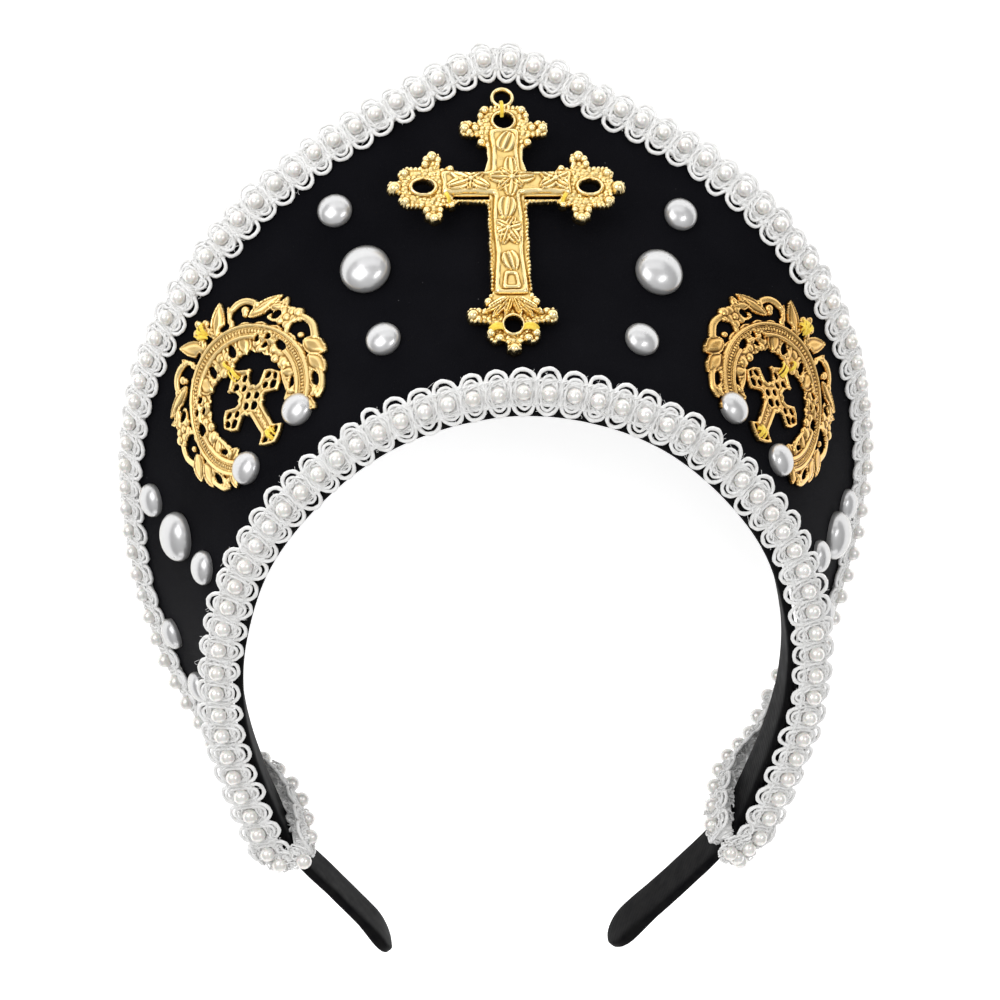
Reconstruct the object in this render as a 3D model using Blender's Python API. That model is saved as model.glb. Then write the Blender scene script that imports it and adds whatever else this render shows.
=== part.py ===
"""Crown headband: a black velvet halo sewn to a thin U-shaped band, edged with pearl lace and
dressed with half-round pearls, a cast gilt cross and two pierced gilt wreaths.

The tables give the crown's own frame in millimetres: x to the right, y up to the peak, z out of
the front. REST turns that frame onto its back and lifts it, so the finished part lies on the
halo's outer edge with its front up, as it would on a table.
"""
import math

import bmesh
import bpy
from mathutils import Matrix, Vector, geometry
from mathutils.bvhtree import BVHTree

MM = 0.001
GAP = 0.3                 # clear space between pieces that are sewn or glued together
PROBE = 30.0              # height from which the halo's face is looked for

REST_TILT = 10.95         # degrees that bring the halo's three lowest points onto one plane
REST_SHIFT_Y = -2.2       # mm that centre the part on the y axis
REST_LIFT = 72.95         # mm from the crown's own origin down to the table

# Headband: centre line of the strip, right half from the peak to the tip
BAND_LINE = (
    # x, y
    (0.0, 42.3), (20.0, 39.0), (37.5, 30.5), (53.0, 16.0), (64.0, -1.0), (69.5, -21.0),
    (70.2, -38.0), (67.5, -54.0), (61.8, -71.5), (56.0, -85.0), (46.0, -97.0),
    (36.0, -107.5), (26.5, -118.0),
)
LEFT_LEAN = (-4.5, 1.0)   # mm in x and y that the left tip is bent outward
LEAN_FROM = 0.85
FRONT_Z = -2.7            # front edge of the band and of the halo, behind the lace
BAND_WIDTH = 14.0
BAND_THICK = 2.6
BAND_CHAMFER = 0.7
TIP_LENGTH = 7.0
TIP_SWELL = 0.35          # extra thickness of the padded tip, as a share

# Halo: middle of the board along its outer edge, right half from the peak to the lower corner
HALO_EDGE = (
    # x, y, z
    (0.0, 98.5, -88.0), (14.0, 94.0, -86.0), (30.0, 87.0, -81.0), (46.0, 79.5, -75.0),
    (61.0, 69.5, -69.0), (73.0, 57.0, -65.0), (84.0, 39.0, -63.0), (90.5, 21.0, -63.0),
    (93.5, 1.0, -63.5), (93.0, -18.0, -63.0), (90.0, -36.0, -61.5), (84.0, -55.0, -57.0),
    (73.0, -74.5, -47.0),
)
HALO_THICK = 2.4
HALO_CLEARANCE = 0.4      # between the board and the band
HALO_STEPS = 40           # cells along the board
HALO_ROWS = 5             # points across it
HALO_LAST_STEP = 0.985    # extra cut close to each end
HALO_BOW = 2.5            # how far the board's middle sinks below a straight line
HALO_END = 0.79           # share of the band's half length that the halo covers
CORNER_RUN = 0.07         # length of the rounded lower corner, as a share of the half edge
CORNER_DROP = 0.20        # depth of the rounded lower corner, as a share of the board's width

# Pearl lace
BEAD_PITCH = 6.25
BEAD_RADIUS = 1.95
BEAD_RISE = 0.9           # bead centre above the ribbon's top
RIBBON_HALF = 4.9
RIBBON_THICK = 1.3
BEAD_SIDES = 10
BEAD_SEAM = 0.12          # how far the cloth stands off round each bead
BEAD_CROWN = (0.58, 0.92)   # radius and height of the bead's flat top, over the bead's radius
INNER_BEADS = 57
INNER_OFFSET_PEAK = 7.1   # bead row outside the band's centre line, at the peak and at the ends
INNER_OFFSET_END = 4.6
INNER_LEAN = 20.0         # degrees the front ribbon leans outward
BACK_RIDGE_HALF = 1.5
FRONT_LOWER = (0.12, 0.30, 0.52, 0.68)   # across the halo, where the ribbon runs up its end cut
BACK_WRAP = (
    # x, y, z of the rear bead row where it leaves the halo and wraps over the band, right end
    (52.0, -82.0, -3.5), (52.2, -80.9, -6.9), (52.8, -79.0, -12.7), (53.9, -77.2, -18.4),
    (55.9, -76.0, -24.0), (59.0, -75.4, -30.0),
)

# Half-round pearls: side (-1 left, 1 right), place along the halo, place across it, radius
PEARLS = (
    # name, side, along, across, radius
    ("pearl_upper_big_left", -1, 0.190, 0.555, 6.5),
    ("pearl_upper_big_right", 1, 0.201, 0.536, 6.3),
    ("pearl_upper_outer_left", -1, 0.216, 0.796, 4.5),
    ("pearl_upper_outer_right", 1, 0.229, 0.777, 4.4),
    ("pearl_upper_inner_left", -1, 0.181, 0.307, 4.5),
    ("pearl_upper_inner_right", 1, 0.176, 0.278, 4.5),
    ("pearl_side_big_left", -1, 0.631, 0.563, 6.4),
    ("pearl_side_big_right", 1, 0.676, 0.635, 6.3),
    ("pearl_side_outer_left", -1, 0.652, 0.816, 4.4),
    ("pearl_side_outer_right", 1, 0.686, 0.826, 4.3),
    ("pearl_side_inner_left", -1, 0.597, 0.309, 4.4),
    ("pearl_side_inner_right", 1, 0.618, 0.344, 4.2),
    ("pearl_low_outer_left", -1, 0.825, 0.803, 4.2),
    ("pearl_low_outer_right", 1, 0.825, 0.803, 4.2),
    ("pearl_low_inner_left", -1, 0.854, 0.600, 4.2),
    ("pearl_low_inner_right", 1, 0.854, 0.600, 4.2),
    ("pearl_wreath_upper_left", -1, 0.325, 0.284, 4.3),
    ("pearl_wreath_upper_right", 1, 0.330, 0.256, 4.3),
    ("pearl_wreath_lower_left", -1, 0.433, 0.290, 4.3),
    ("pearl_wreath_lower_right", 1, 0.436, 0.272, 4.3),
)
PEARL_FLATNESS = 0.78     # height over radius
PEARL_SIDES = 10

# Wreaths: place on the halo (left -1, right 1), turn in its face, the C's centre from that place
WREATH_PLACES = {-1: (0.397, 0.490), 1: (0.401, 0.470)}
WREATH_TURN = 14.0
WREATH_CENTRES = {-1: (-0.8, -1.2), 1: (2.1, -1.2)}
WREATH_CELLS = 24
WREATH_ROWS = (
    # radius at a leaf and between leaves, height at a leaf and between leaves, how much wider
    # away from the cross, angle of the two ends below the middle
    (12.4, 13.2, 1.0, 0.9, 0.0, 30.0),
    (14.4, 14.4, 1.5, 1.3, 0.0, 30.0),
    (16.8, 16.8, 1.3, 1.3, 0.0, 30.0),
    (18.5, 18.5, 2.4, 2.4, 0.0, 33.0),
    (20.2, 20.2, 1.3, 1.3, 0.0, 36.0),
    (22.4, 22.4, 1.6, 1.3, 0.3, 40.0),
    (26.4, 23.8, 0.9, 1.0, 1.2, 42.0),
)
WREATH_OPEN_ROWS = (1, 4)
DRAPE_GAP = 0.35          # under the castings

# Small cross in each wreath: named lengths from its crossing
MINI_CENTRES = {-1: (0.4, -1.7), 1: (0.8, -1.7)}
MINI_ARM = 10.6
MINI_HEAD = 10.4
MINI_FOOT = 15.2
MINI_END = 3.4            # half of the square end
MINI_BAR = 2.0            # half of the bar
MINI_RIM = 1.6            # metal round the opening in each square end
MINI_THICK = 1.4

# Large cross: right half of the outline from the lower tip to the ring, origin at the crossing
CROSS_OUTLINE = (
    # half width, y
    (1.7, -47.9), (1.9, -45.9), (3.3, -45.2), (4.9, -45.8), (6.8, -43.3), (5.9, -40.2),
    (10.3, -39.8), (11.4, -37.7), (10.3, -35.7), (6.3, -36.0), (6.9, -33.8), (5.0, -30.8),
    (4.7, -27.0), (5.3, -25.0), (4.8, -20.3), (5.3, -16.7), (4.9, -13.0), (5.2, -10.4),
    (4.7, -6.8), (5.7, -5.1), (12.0, -4.7), (13.8, -6.4), (16.3, -5.6), (16.6, -9.4),
    (18.5, -10.1), (20.5, -9.0), (20.8, -6.1), (25.3, -5.8), (27.2, -4.0), (26.8, -2.0),
    (29.3, -1.6), (30.0, 0.0), (29.3, 1.6), (26.8, 2.0), (27.2, 4.0), (25.3, 5.8),
    (20.8, 6.1), (20.5, 8.8), (18.5, 9.9), (16.6, 9.4), (16.3, 5.6), (13.8, 6.4),
    (12.0, 4.9), (5.7, 5.1), (4.8, 7.8), (5.0, 11.4), (6.9, 12.8), (6.2, 14.4),
    (10.3, 14.8), (11.3, 17.0), (10.3, 19.1), (6.8, 18.9), (6.3, 21.4), (4.6, 23.5),
)
CROSS_THICK = 2.2
CROSS_HOLES = (
    # x, y, half width, half height
    (0.0, 19.3, 2.2, 2.1), (0.0, -40.6, 2.0, 2.2), (21.0, -0.5, 2.3, 1.9), (-21.0, -0.5, 2.3, 1.9),
)
CROSS_HOLE_SIDES = 8
CROSS_SLOTS = ((4.6, 13.4), (-13.4, -4.6))   # x from and to, under each arm
CROSS_SLOT_Y = (-3.9, -3.0)
RING_CENTRE_Y = 26.3
RING_OUTER = 3.2
RING_INNER = 1.9
RING_SIDES = 12
PANEL_RISE = 1.0          # raised, chased panel on the cross
PANEL_TAPER = 0.5
PANEL_OUTLINE = (
    # x, y: right half of the raised panel, bottom to top
    (4.0, -31.0), (3.3, -20.0), (3.8, -10.0), (3.4, -2.5), (16.8, -2.3), (16.8, 4.2),
    (3.4, 4.4), (3.3, 10.0), (3.9, 16.8),
)
FLOWERS = ((0.0, 1.2), (-0.2, -11.8), (-10.5, 1.2), (10.5, 1.2))
FLOWER_RADIUS = 2.1
FLOWER_RISE = 0.8
CROSS_ALONG = 0.0
CROSS_ACROSS = 0.617
CROSS_TURN = -1.3         # degrees, as sewn
CROSS_SPINE = tuple((0.0, y) for y in range(-45, 27, 5))   # points under the cross's middle

VELVET = (0.008, 0.008, 0.010)
SATIN = (0.012, 0.012, 0.014)
LACE = (0.86, 0.85, 0.82)
PEARL = (0.78, 0.78, 0.77)
BRIGHT_GILT = (0.90, 0.66, 0.28)
DARK_GILT = (0.72, 0.47, 0.18)


class Path:
    """A smooth curve through points, read by its arc share from -1 (left end) to 1 (right end)."""

    STEPS = 16

    def __init__(self, points):
        ends = [points[0] * 2 - points[1], *points, points[-1] * 2 - points[-2]]
        self.points = []
        for before, start, end, after in zip(ends, ends[1:], ends[2:], ends[3:]):
            for step in range(self.STEPS):
                self.points.append(self.blend(before, start, end, after, step / self.STEPS))
        self.points.append(points[-1].copy())
        self.runs = [0.0]
        for a, b in zip(self.points, self.points[1:]):
            self.runs.append(self.runs[-1] + (b - a).length)
        self.length = self.runs[-1]

    @staticmethod
    def blend(before, start, end, after, t):
        """Catmull-Rom point between start and end."""
        return 0.5 * (start * 2 + (end - before) * t
                      + (before * 2 - start * 5 + end * 4 - after) * t ** 2
                      + (start * 3 - before - end * 3 + after) * t ** 3)

    def at(self, share):
        run = (share + 1) / 2 * self.length
        low, high = 0, len(self.runs) - 2
        while low < high:
            middle = (low + high + 1) // 2
            if self.runs[middle] <= run:
                low = middle
            else:
                high = middle - 1
        part = (run - self.runs[low]) / (self.runs[low + 1] - self.runs[low])
        return self.points[low].lerp(self.points[low + 1], part)

    def along(self, share, step=0.004):
        return (self.at(min(share + step, 1)) - self.at(max(share - step, -1))).normalized()


def mirrored_path(half):
    """A path through a right-half table and its mirror image."""
    right = [Vector(row) for row in half]
    left = [Vector((-point.x, point.y, point.z)) for point in reversed(right[1:])]
    return Path(left + right)


BAND_PATH = mirrored_path([(x, y, 0.0) for x, y in BAND_LINE])
EDGE_PATH = mirrored_path(HALO_EDGE)
FORWARD = Vector((0, 0, 1))
REST = (Matrix.Translation((0, REST_SHIFT_Y * MM, REST_LIFT * MM))
        @ Matrix.Rotation(math.radians(REST_TILT), 4, "X") @ Matrix.Scale(MM, 4))


def band_outward(share):
    """Unit vector away from the head, square to the band's line."""
    along = BAND_PATH.along(share)
    return Vector((-along.y, along.x, 0))


def halo_middle(along, across):
    """Point in the middle of the board; along runs -1 to 1, across from the band to the edge."""
    share = along * HALO_END
    rim = BAND_PATH.at(share) + band_outward(share) * (BAND_THICK / 2 + HALO_CLEARANCE + HALO_THICK / 2)
    rim.z = FRONT_Z
    edge = EDGE_PATH.at(along)
    step = 0.004
    rim_run = BAND_PATH.at(share + step) - BAND_PATH.at(share - step)
    edge_run = EDGE_PATH.at(min(along + step, 1)) - EDGE_PATH.at(max(along - step, -1))
    normal = rim_run.lerp(edge_run, across).cross(edge - rim).normalized()
    return rim.lerp(edge, across) - normal * HALO_BOW * 4 * across * (1 - across)


def halo_frame(along, across, height=0.0):
    """A frame on the halo: x and y lie in its face, y runs to the outer edge, z stands out."""
    step = 0.006
    run = halo_middle(min(along + step, 1), across) - halo_middle(max(along - step, -1), across)
    rise = halo_middle(along, across + step) - halo_middle(along, across - step)
    normal = run.cross(rise).normalized()
    rise.normalize()
    side = rise.cross(normal)
    frame = Matrix((side, rise, normal)).transposed().to_4x4()
    frame.translation = halo_middle(along, across) + normal * height
    return frame


def corner_across(along):
    """How far across the board reaches; less near the rounded lower corners."""
    over = max(0.0, (abs(along) - 1 + CORNER_RUN) / CORNER_RUN)
    return 1 - CORNER_DROP * (1 - math.sqrt(max(0.0, 1 - over ** 2)))


def border_route(lower):
    """Along and across values round the halo's free border; lower lists those on the end cut."""
    corner = []
    for step in range(5):
        angle = math.radians(90 - 22.5 * step)
        corner.append((1 - CORNER_RUN + CORNER_RUN * math.sin(angle),
                       1 - CORNER_DROP + CORNER_DROP * math.cos(angle)))
    top_steps = 24
    side = [((1 - CORNER_RUN) * (1 - step / top_steps), 1.0) for step in range(1, top_steps + 1)]
    right = [(1.0, across) for across in lower] + corner + side
    left = [(-along, across) for along, across in reversed(right[:-1])]
    return right + left


def finish(name, mesh, material):
    """Turns the crown's frame into the rest frame and links one named object."""
    mesh.transform(REST)
    bmesh.ops.recalc_face_normals(mesh, faces=mesh.faces)
    data = bpy.data.meshes.new(name)
    mesh.to_mesh(data)
    mesh.free()
    data.materials.append(material)
    data.shade_smooth()
    data.set_sharp_from_angle(angle=math.radians(35))
    piece = bpy.data.objects.new(name, data)
    bpy.context.scene.collection.objects.link(piece)
    return piece


def make_material(name, colour, roughness, metallic=0.0):
    material = bpy.data.materials.new(name)
    material.use_nodes = True
    shader = material.node_tree.nodes["Principled BSDF"]
    shader.inputs["Base Color"].default_value = (*colour, 1)
    shader.inputs["Roughness"].default_value = roughness
    shader.inputs["Metallic"].default_value = metallic
    return material


def loft(mesh, rings):
    """Skins closed rings of equal count and closes both ends."""
    rows = [[mesh.verts.new(point) for point in ring] for ring in rings]
    count = len(rows[0])
    for low, high in zip(rows, rows[1:]):
        for k in range(count):
            after = (k + 1) % count
            mesh.faces.new((low[k], low[after], high[after], high[k]))
    mesh.faces.new(rows[0])
    mesh.faces.new(list(reversed(rows[-1])))
    return rows


def bridge(mesh, outer, inner, outer_points, inner_points):
    """Fills between two loops that run the same way round, by their flat angles."""
    def angles(points):
        turned = [math.atan2(y, x) for x, y in points]
        start = turned[0]
        return [start + (value - start) % math.tau for value in turned] + [start + math.tau]

    outer_turn = angles(outer_points)
    inner_turn = angles(inner_points)
    shift = min(range(len(inner)), key=lambda k: abs(math.remainder(
        inner_turn[k] - outer_turn[0], math.tau)))
    inner = inner[shift:] + inner[:shift]
    inner_points = inner_points[shift:] + inner_points[:shift]
    inner_turn = angles(inner_points)
    offset = math.remainder(inner_turn[0] - outer_turn[0], math.tau) + outer_turn[0] - inner_turn[0]
    inner_turn = [value + offset for value in inner_turn]
    i = j = 0
    while i < len(outer) or j < len(inner):
        a, b = outer[i % len(outer)], inner[j % len(inner)]
        take_outer = j == len(inner) or (i < len(outer) and outer_turn[i + 1] <= inner_turn[j + 1])
        if take_outer:
            mesh.faces.new((a, outer[(i + 1) % len(outer)], b))
            i += 1
        else:
            mesh.faces.new((a, inner[(j + 1) % len(inner)], b))
            j += 1


def build_band(material):
    """The padded strip, from tip to tip, with rounded and slightly swollen ends."""
    tip_share = 2 * TIP_LENGTH / BAND_PATH.length
    tip_steps = [1 - tip_share * (1 - math.sin(math.radians(angle))) for angle in (88, 62, 40, 20)]
    body_steps = 20
    body = [(1 - tip_share) * (1 - step / body_steps) for step in range(body_steps + 1)]
    right = tip_steps + body
    shares = right + [-share for share in reversed(right[:-1])]
    rings = []
    for share in shares:
        over = max(0.0, (abs(share) - 1 + tip_share) / tip_share)
        round_off = math.sqrt(max(0.0, 1 - over ** 2))
        near_tip = max(0.0, 1 - abs(abs(share) - 1 + 1.2 * tip_share) / (1.2 * tip_share))
        half_width = BAND_WIDTH / 2 * max(round_off, 0.04)
        half_thick = BAND_THICK / 2 * (1 + TIP_SWELL * near_tip) * max(round_off, 0.3) ** 0.5
        chamfer = min(BAND_CHAMFER, half_width * 0.5, half_thick * 0.55)
        lean = max(0.0, (-share - LEAN_FROM) / (1 - LEAN_FROM)) ** 1.5
        centre = BAND_PATH.at(share) + Vector((*LEFT_LEAN, 0)) * lean
        centre.z = FRONT_Z - BAND_WIDTH / 2
        out = band_outward(share)
        ring = []
        for across, deep in ((1, 1), (-1, 1), (-1, -1), (1, -1)):
            near_edge = (half_thick * across, (half_width - chamfer) * deep)
            near_face = ((half_thick - chamfer) * across, half_width * deep)
            corners = (near_edge, near_face) if across * deep > 0 else (near_face, near_edge)
            ring += [centre + out * x + FORWARD * z for x, z in corners]
        rings.append(ring)
    mesh = bmesh.new()
    loft(mesh, rings)
    return finish("headband", mesh, material)


def build_halo(material):
    """The velvet-covered board: a ruled, slightly bowed sheet with rounded lower corners."""
    alongs = [-1 + 2 * k / HALO_STEPS for k in range(HALO_STEPS + 1)]
    alongs[1:1] = [-HALO_LAST_STEP]
    alongs[-1:-1] = [HALO_LAST_STEP]
    mesh = bmesh.new()
    faces = {1: [], -1: []}
    for along in alongs:
        reach = corner_across(along)
        for side in faces:
            row = []
            for k in range(HALO_ROWS):
                frame = halo_frame(along, reach * k / (HALO_ROWS - 1), side * HALO_THICK / 2)
                row.append(mesh.verts.new(frame.translation))
            faces[side].append(row)
    for side, rows in faces.items():
        for low, high in zip(rows, rows[1:]):
            for k in range(HALO_ROWS - 1):
                mesh.faces.new((low[k], low[k + 1], high[k + 1], high[k]))
    for k in (0, HALO_ROWS - 1):
        for n in range(len(alongs) - 1):
            front, back = faces[1], faces[-1]
            mesh.faces.new((front[n][k], front[n + 1][k], back[n + 1][k], back[n][k]))
    for n in (0, len(alongs) - 1):
        for k in range(HALO_ROWS - 1):
            front, back = faces[1][n], faces[-1][n]
            mesh.faces.new((front[k], front[k + 1], back[k + 1], back[k]))
    bmesh.ops.recalc_face_normals(mesh, faces=mesh.faces)
    tree = BVHTree.FromBMesh(mesh)
    return finish("halo_panel", mesh, material), tree


def ribbon_frames_inner():
    """Frames at the cell ends and middles of the ribbon along the front edge."""
    reach = INNER_BEADS * BEAD_PITCH / 2
    row = []
    samples = 120
    for k in range(samples + 1):
        share = (-1 + 2 * k / samples) * HALO_END
        offset = INNER_OFFSET_END + (INNER_OFFSET_PEAK - INNER_OFFSET_END) * (1 - abs(share))
        row.append(BAND_PATH.at(share) + band_outward(share) * offset)
    path = Path(row)
    ends = reach / (path.length / 2)
    lean = math.radians(INNER_LEAN)
    frames = []
    for k in range(2 * INNER_BEADS + 1):
        share = ends * (-1 + k / INNER_BEADS)
        share = max(-1.0, min(1.0, share))
        along = path.along(share)
        out = Vector((-along.y, along.x, 0))
        up = FORWARD * math.cos(lean) + out * math.sin(lean)
        centre = path.at(share) - up * (BEAD_RISE + RIBBON_THICK)
        frames.append((centre, along, up))
    return frames


def border_rows(side, lower):
    """Points and outward normals along the halo's border, on its front (1) or its back (-1)."""
    rows = []
    for along, across in border_route(lower):
        frame = halo_frame(along, across, side * (HALO_THICK / 2 + GAP))
        rows.append((frame.translation, frame.col[2].to_3d() * side))
    return rows


def back_rows():
    """The same for the rear ribbon, whose ends wrap forward over the band's inner face."""
    inward = -band_outward(HALO_END - 0.03)
    right = []
    for row in BACK_WRAP:
        right.append((Vector(row) - inward * (RIBBON_THICK + BEAD_RISE), inward))
    left = [(Vector((-p.x, p.y, p.z)), Vector((-n.x, n.y, n.z))) for p, n in reversed(right)]
    return right + border_rows(-1, ()) + left


def ribbon_frames(rows):
    """Frames at the cell ends and middles of a ribbon that follows rows of points and normals."""
    points = [point for point, _ in rows]
    normals = [normal for _, normal in rows]
    path = Path(points)
    knots = [path.runs[k * Path.STEPS] / path.length * 2 - 1 for k in range(len(points))]
    beads = round(path.length / BEAD_PITCH)
    frames = []
    for k in range(2 * beads + 1):
        share = -1 + k / beads
        high = next(n for n in range(1, len(knots)) if knots[n] >= share - 1e-9)
        part = (share - knots[high - 1]) / (knots[high] - knots[high - 1])
        up = normals[high - 1].lerp(normals[high], part).normalized()
        along = path.along(share)
        frames.append((path.at(share), along, (up - along * up.dot(along)).normalized()))
    return frames


def build_pearl_ribbon(name, frames, material):
    """A flat lace ribbon with a half-sunk pearl in the middle of each cell."""
    mesh = bmesh.new()
    radius = math.sqrt(BEAD_RADIUS ** 2 - BEAD_RISE ** 2) + BEAD_SEAM
    crown_sides = BEAD_SIDES // 2
    edges = []
    for centre, along, up in frames[::2]:
        across = up.cross(along)
        corners = ((RIBBON_HALF, 0), (-RIBBON_HALF, 0), (-RIBBON_HALF, RIBBON_THICK),
                   (RIBBON_HALF, RIBBON_THICK))
        edges.append([mesh.verts.new(centre + across * x + up * z) for x, z in corners])
    mesh.faces.new(edges[0])
    mesh.faces.new(list(reversed(edges[-1])))
    half = BEAD_PITCH / 2
    flat_corners = [(half, RIBBON_HALF), (-half, RIBBON_HALF), (-half, -RIBBON_HALF), (half, -RIBBON_HALF)]
    for cell, (low, high) in enumerate(zip(edges, edges[1:])):
        for a, b in ((0, 1), (1, 2), (3, 0)):
            mesh.faces.new((low[a], low[b], high[b], high[a]))
        centre, along, up = frames[2 * cell + 1]
        across = up.cross(along)
        top = centre + up * RIBBON_THICK
        flat_ring = []
        ring = []
        for k in range(BEAD_SIDES):
            turn = math.tau * k / BEAD_SIDES
            flat_ring.append((radius * math.cos(turn), radius * math.sin(turn)))
            ring.append(mesh.verts.new(top + along * flat_ring[-1][0] + across * flat_ring[-1][1]))
        bridge(mesh, [high[3], low[3], low[2], high[2]], ring, flat_corners, flat_ring)
        crown = []
        for k in range(crown_sides):
            turn = math.tau * (k + 0.25) / crown_sides
            offset = along * math.cos(turn) + across * math.sin(turn)
            crown.append(mesh.verts.new(top + offset * BEAD_RADIUS * BEAD_CROWN[0]
                                        + up * (BEAD_RISE + BEAD_RADIUS * BEAD_CROWN[1])))
        mesh.faces.new(crown)
        for k in range(crown_sides):
            a, b, c = ring[2 * k], ring[2 * k + 1], ring[(2 * k + 2) % BEAD_SIDES]
            here, after = crown[k], crown[(k + 1) % crown_sides]
            mesh.faces.new((a, b, here))
            mesh.faces.new((b, c, here))
            mesh.faces.new((c, after, here))
    return finish(name, mesh, material)


def build_ridge_ribbon(name, frames, material):
    """The rear ribbon: its bead row is one low ridge of the beads' height."""
    top = RIBBON_THICK + BEAD_RISE + BEAD_RADIUS
    section = ((RIBBON_HALF, 0), (-RIBBON_HALF, 0), (-RIBBON_HALF, RIBBON_THICK),
               (-BACK_RIDGE_HALF, top), (BACK_RIDGE_HALF, top), (RIBBON_HALF, RIBBON_THICK))
    rings = []
    for centre, along, up in frames[::3] + ([frames[-1]] if (len(frames) - 1) % 3 else []):
        across = up.cross(along)
        rings.append([centre + across * x + up * z for x, z in section])
    mesh = bmesh.new()
    loft(mesh, rings)
    return finish(name, mesh, material)


def seat(tree, frame, outline):
    """Lowest height at which an outline, flat in the frame, clears the halo's face."""
    normal = frame.col[2].to_3d()
    heights = []
    for x, y in outline:
        start = frame @ Vector((x, y, PROBE))
        hit = tree.ray_cast(start, -normal)[0]
        if hit is not None:
            heights.append((hit - frame.translation).dot(normal))
    return max(heights) + GAP


def build_pearl(name, frame, radius, tree, material):
    """A half-round pearl, flat side down on the halo."""
    turns = [math.tau * k / PEARL_SIDES for k in range(PEARL_SIDES)]
    outline = [(radius * share * math.cos(turn), radius * share * math.sin(turn))
               for share in (1, 0.5) for turn in turns] + [(0, 0)]
    lift = seat(tree, frame, outline)
    levels = ((0.0, 0.96), (0.22, 1.0), (0.72, 0.70))
    rings = [[frame @ Vector((radius * width * math.cos(turn), radius * width * math.sin(turn),
                              lift + radius * PEARL_FLATNESS * high)) for turn in turns]
             for high, width in levels]
    mesh = bmesh.new()
    rows = [[mesh.verts.new(point) for point in ring] for ring in rings]
    for low, high in zip(rows, rows[1:]):
        for k in range(PEARL_SIDES):
            after = (k + 1) % PEARL_SIDES
            mesh.faces.new((low[k], low[after], high[after], high[k]))
    mesh.faces.new(rows[0])
    peak = mesh.verts.new(frame @ Vector((0, 0, lift + radius * PEARL_FLATNESS)))
    for k in range(PEARL_SIDES):
        mesh.faces.new((rows[-1][k], rows[-1][(k + 1) % PEARL_SIDES], peak))
    return finish(name, mesh, material)


def drape(tree, frame, x, y, height):
    """A point above the halo's face, found along the frame's normal."""
    normal = frame.col[2].to_3d()
    start = frame @ Vector((x, y, PROBE))
    hit = tree.ray_cast(start, -normal)[0]
    return hit + normal * (DRAPE_GAP + height)


def wreath_frame(side):
    """The wreath's frame on one side; the right one is the left one's mirror image."""
    along, across = WREATH_PLACES[side]
    frame = halo_frame(side * along, across, HALO_THICK / 2)
    return frame @ Matrix.Rotation(math.radians(-side * WREATH_TURN), 4, "Z")


def build_wreath(name, side, tree, material):
    """A C of leaves on a raised rail, pierced on both sides of the rail, curved to the halo."""
    frame = wreath_frame(side)
    centre_x, centre_y = WREATH_CENTRES[side]
    mesh = bmesh.new()
    tops = []
    bottoms = []
    for k in range(WREATH_CELLS + 1):
        leaf = k % 2
        top_row = []
        bottom_row = []
        for leaf_radius, gap_radius, leaf_high, gap_high, lopside, end in WREATH_ROWS:
            turn = math.radians((180 + 2 * end) * k / WREATH_CELLS - end)
            radius = (leaf_radius if leaf else gap_radius) - lopside * math.cos(turn)
            height = leaf_high if leaf else gap_high
            x = centre_x - side * radius * math.cos(turn)
            y = centre_y + radius * math.sin(turn)
            top_row.append(mesh.verts.new(drape(tree, frame, x, y, height)))
            bottom_row.append(mesh.verts.new(drape(tree, frame, x, y, 0)))
        tops.append(top_row)
        bottoms.append(bottom_row)

    def solid(k, row):
        inside = 0 <= k < WREATH_CELLS and 0 <= row < len(WREATH_ROWS) - 1
        open_cell = row in WREATH_OPEN_ROWS and k % 2 == 1 and 0 < k < WREATH_CELLS - 1
        return inside and not open_cell

    for k in range(WREATH_CELLS):
        for row in range(len(WREATH_ROWS) - 1):
            if not solid(k, row):
                continue
            corners = ((k, row), (k + 1, row), (k + 1, row + 1), (k, row + 1))
            mesh.faces.new([tops[n][m] for n, m in corners])
            mesh.faces.new([bottoms[n][m] for n, m in reversed(corners)])
            neighbours = ((k, row - 1), (k + 1, row), (k, row + 1), (k - 1, row))
            for n, neighbour in enumerate(neighbours):
                if not solid(*neighbour):
                    a, b = corners[n], corners[(n + 1) % 4]
                    mesh.faces.new((tops[a[0]][a[1]], tops[b[0]][b[1]],
                                    bottoms[b[0]][b[1]], bottoms[a[0]][a[1]]))
    return finish(name, mesh, material)


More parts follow.
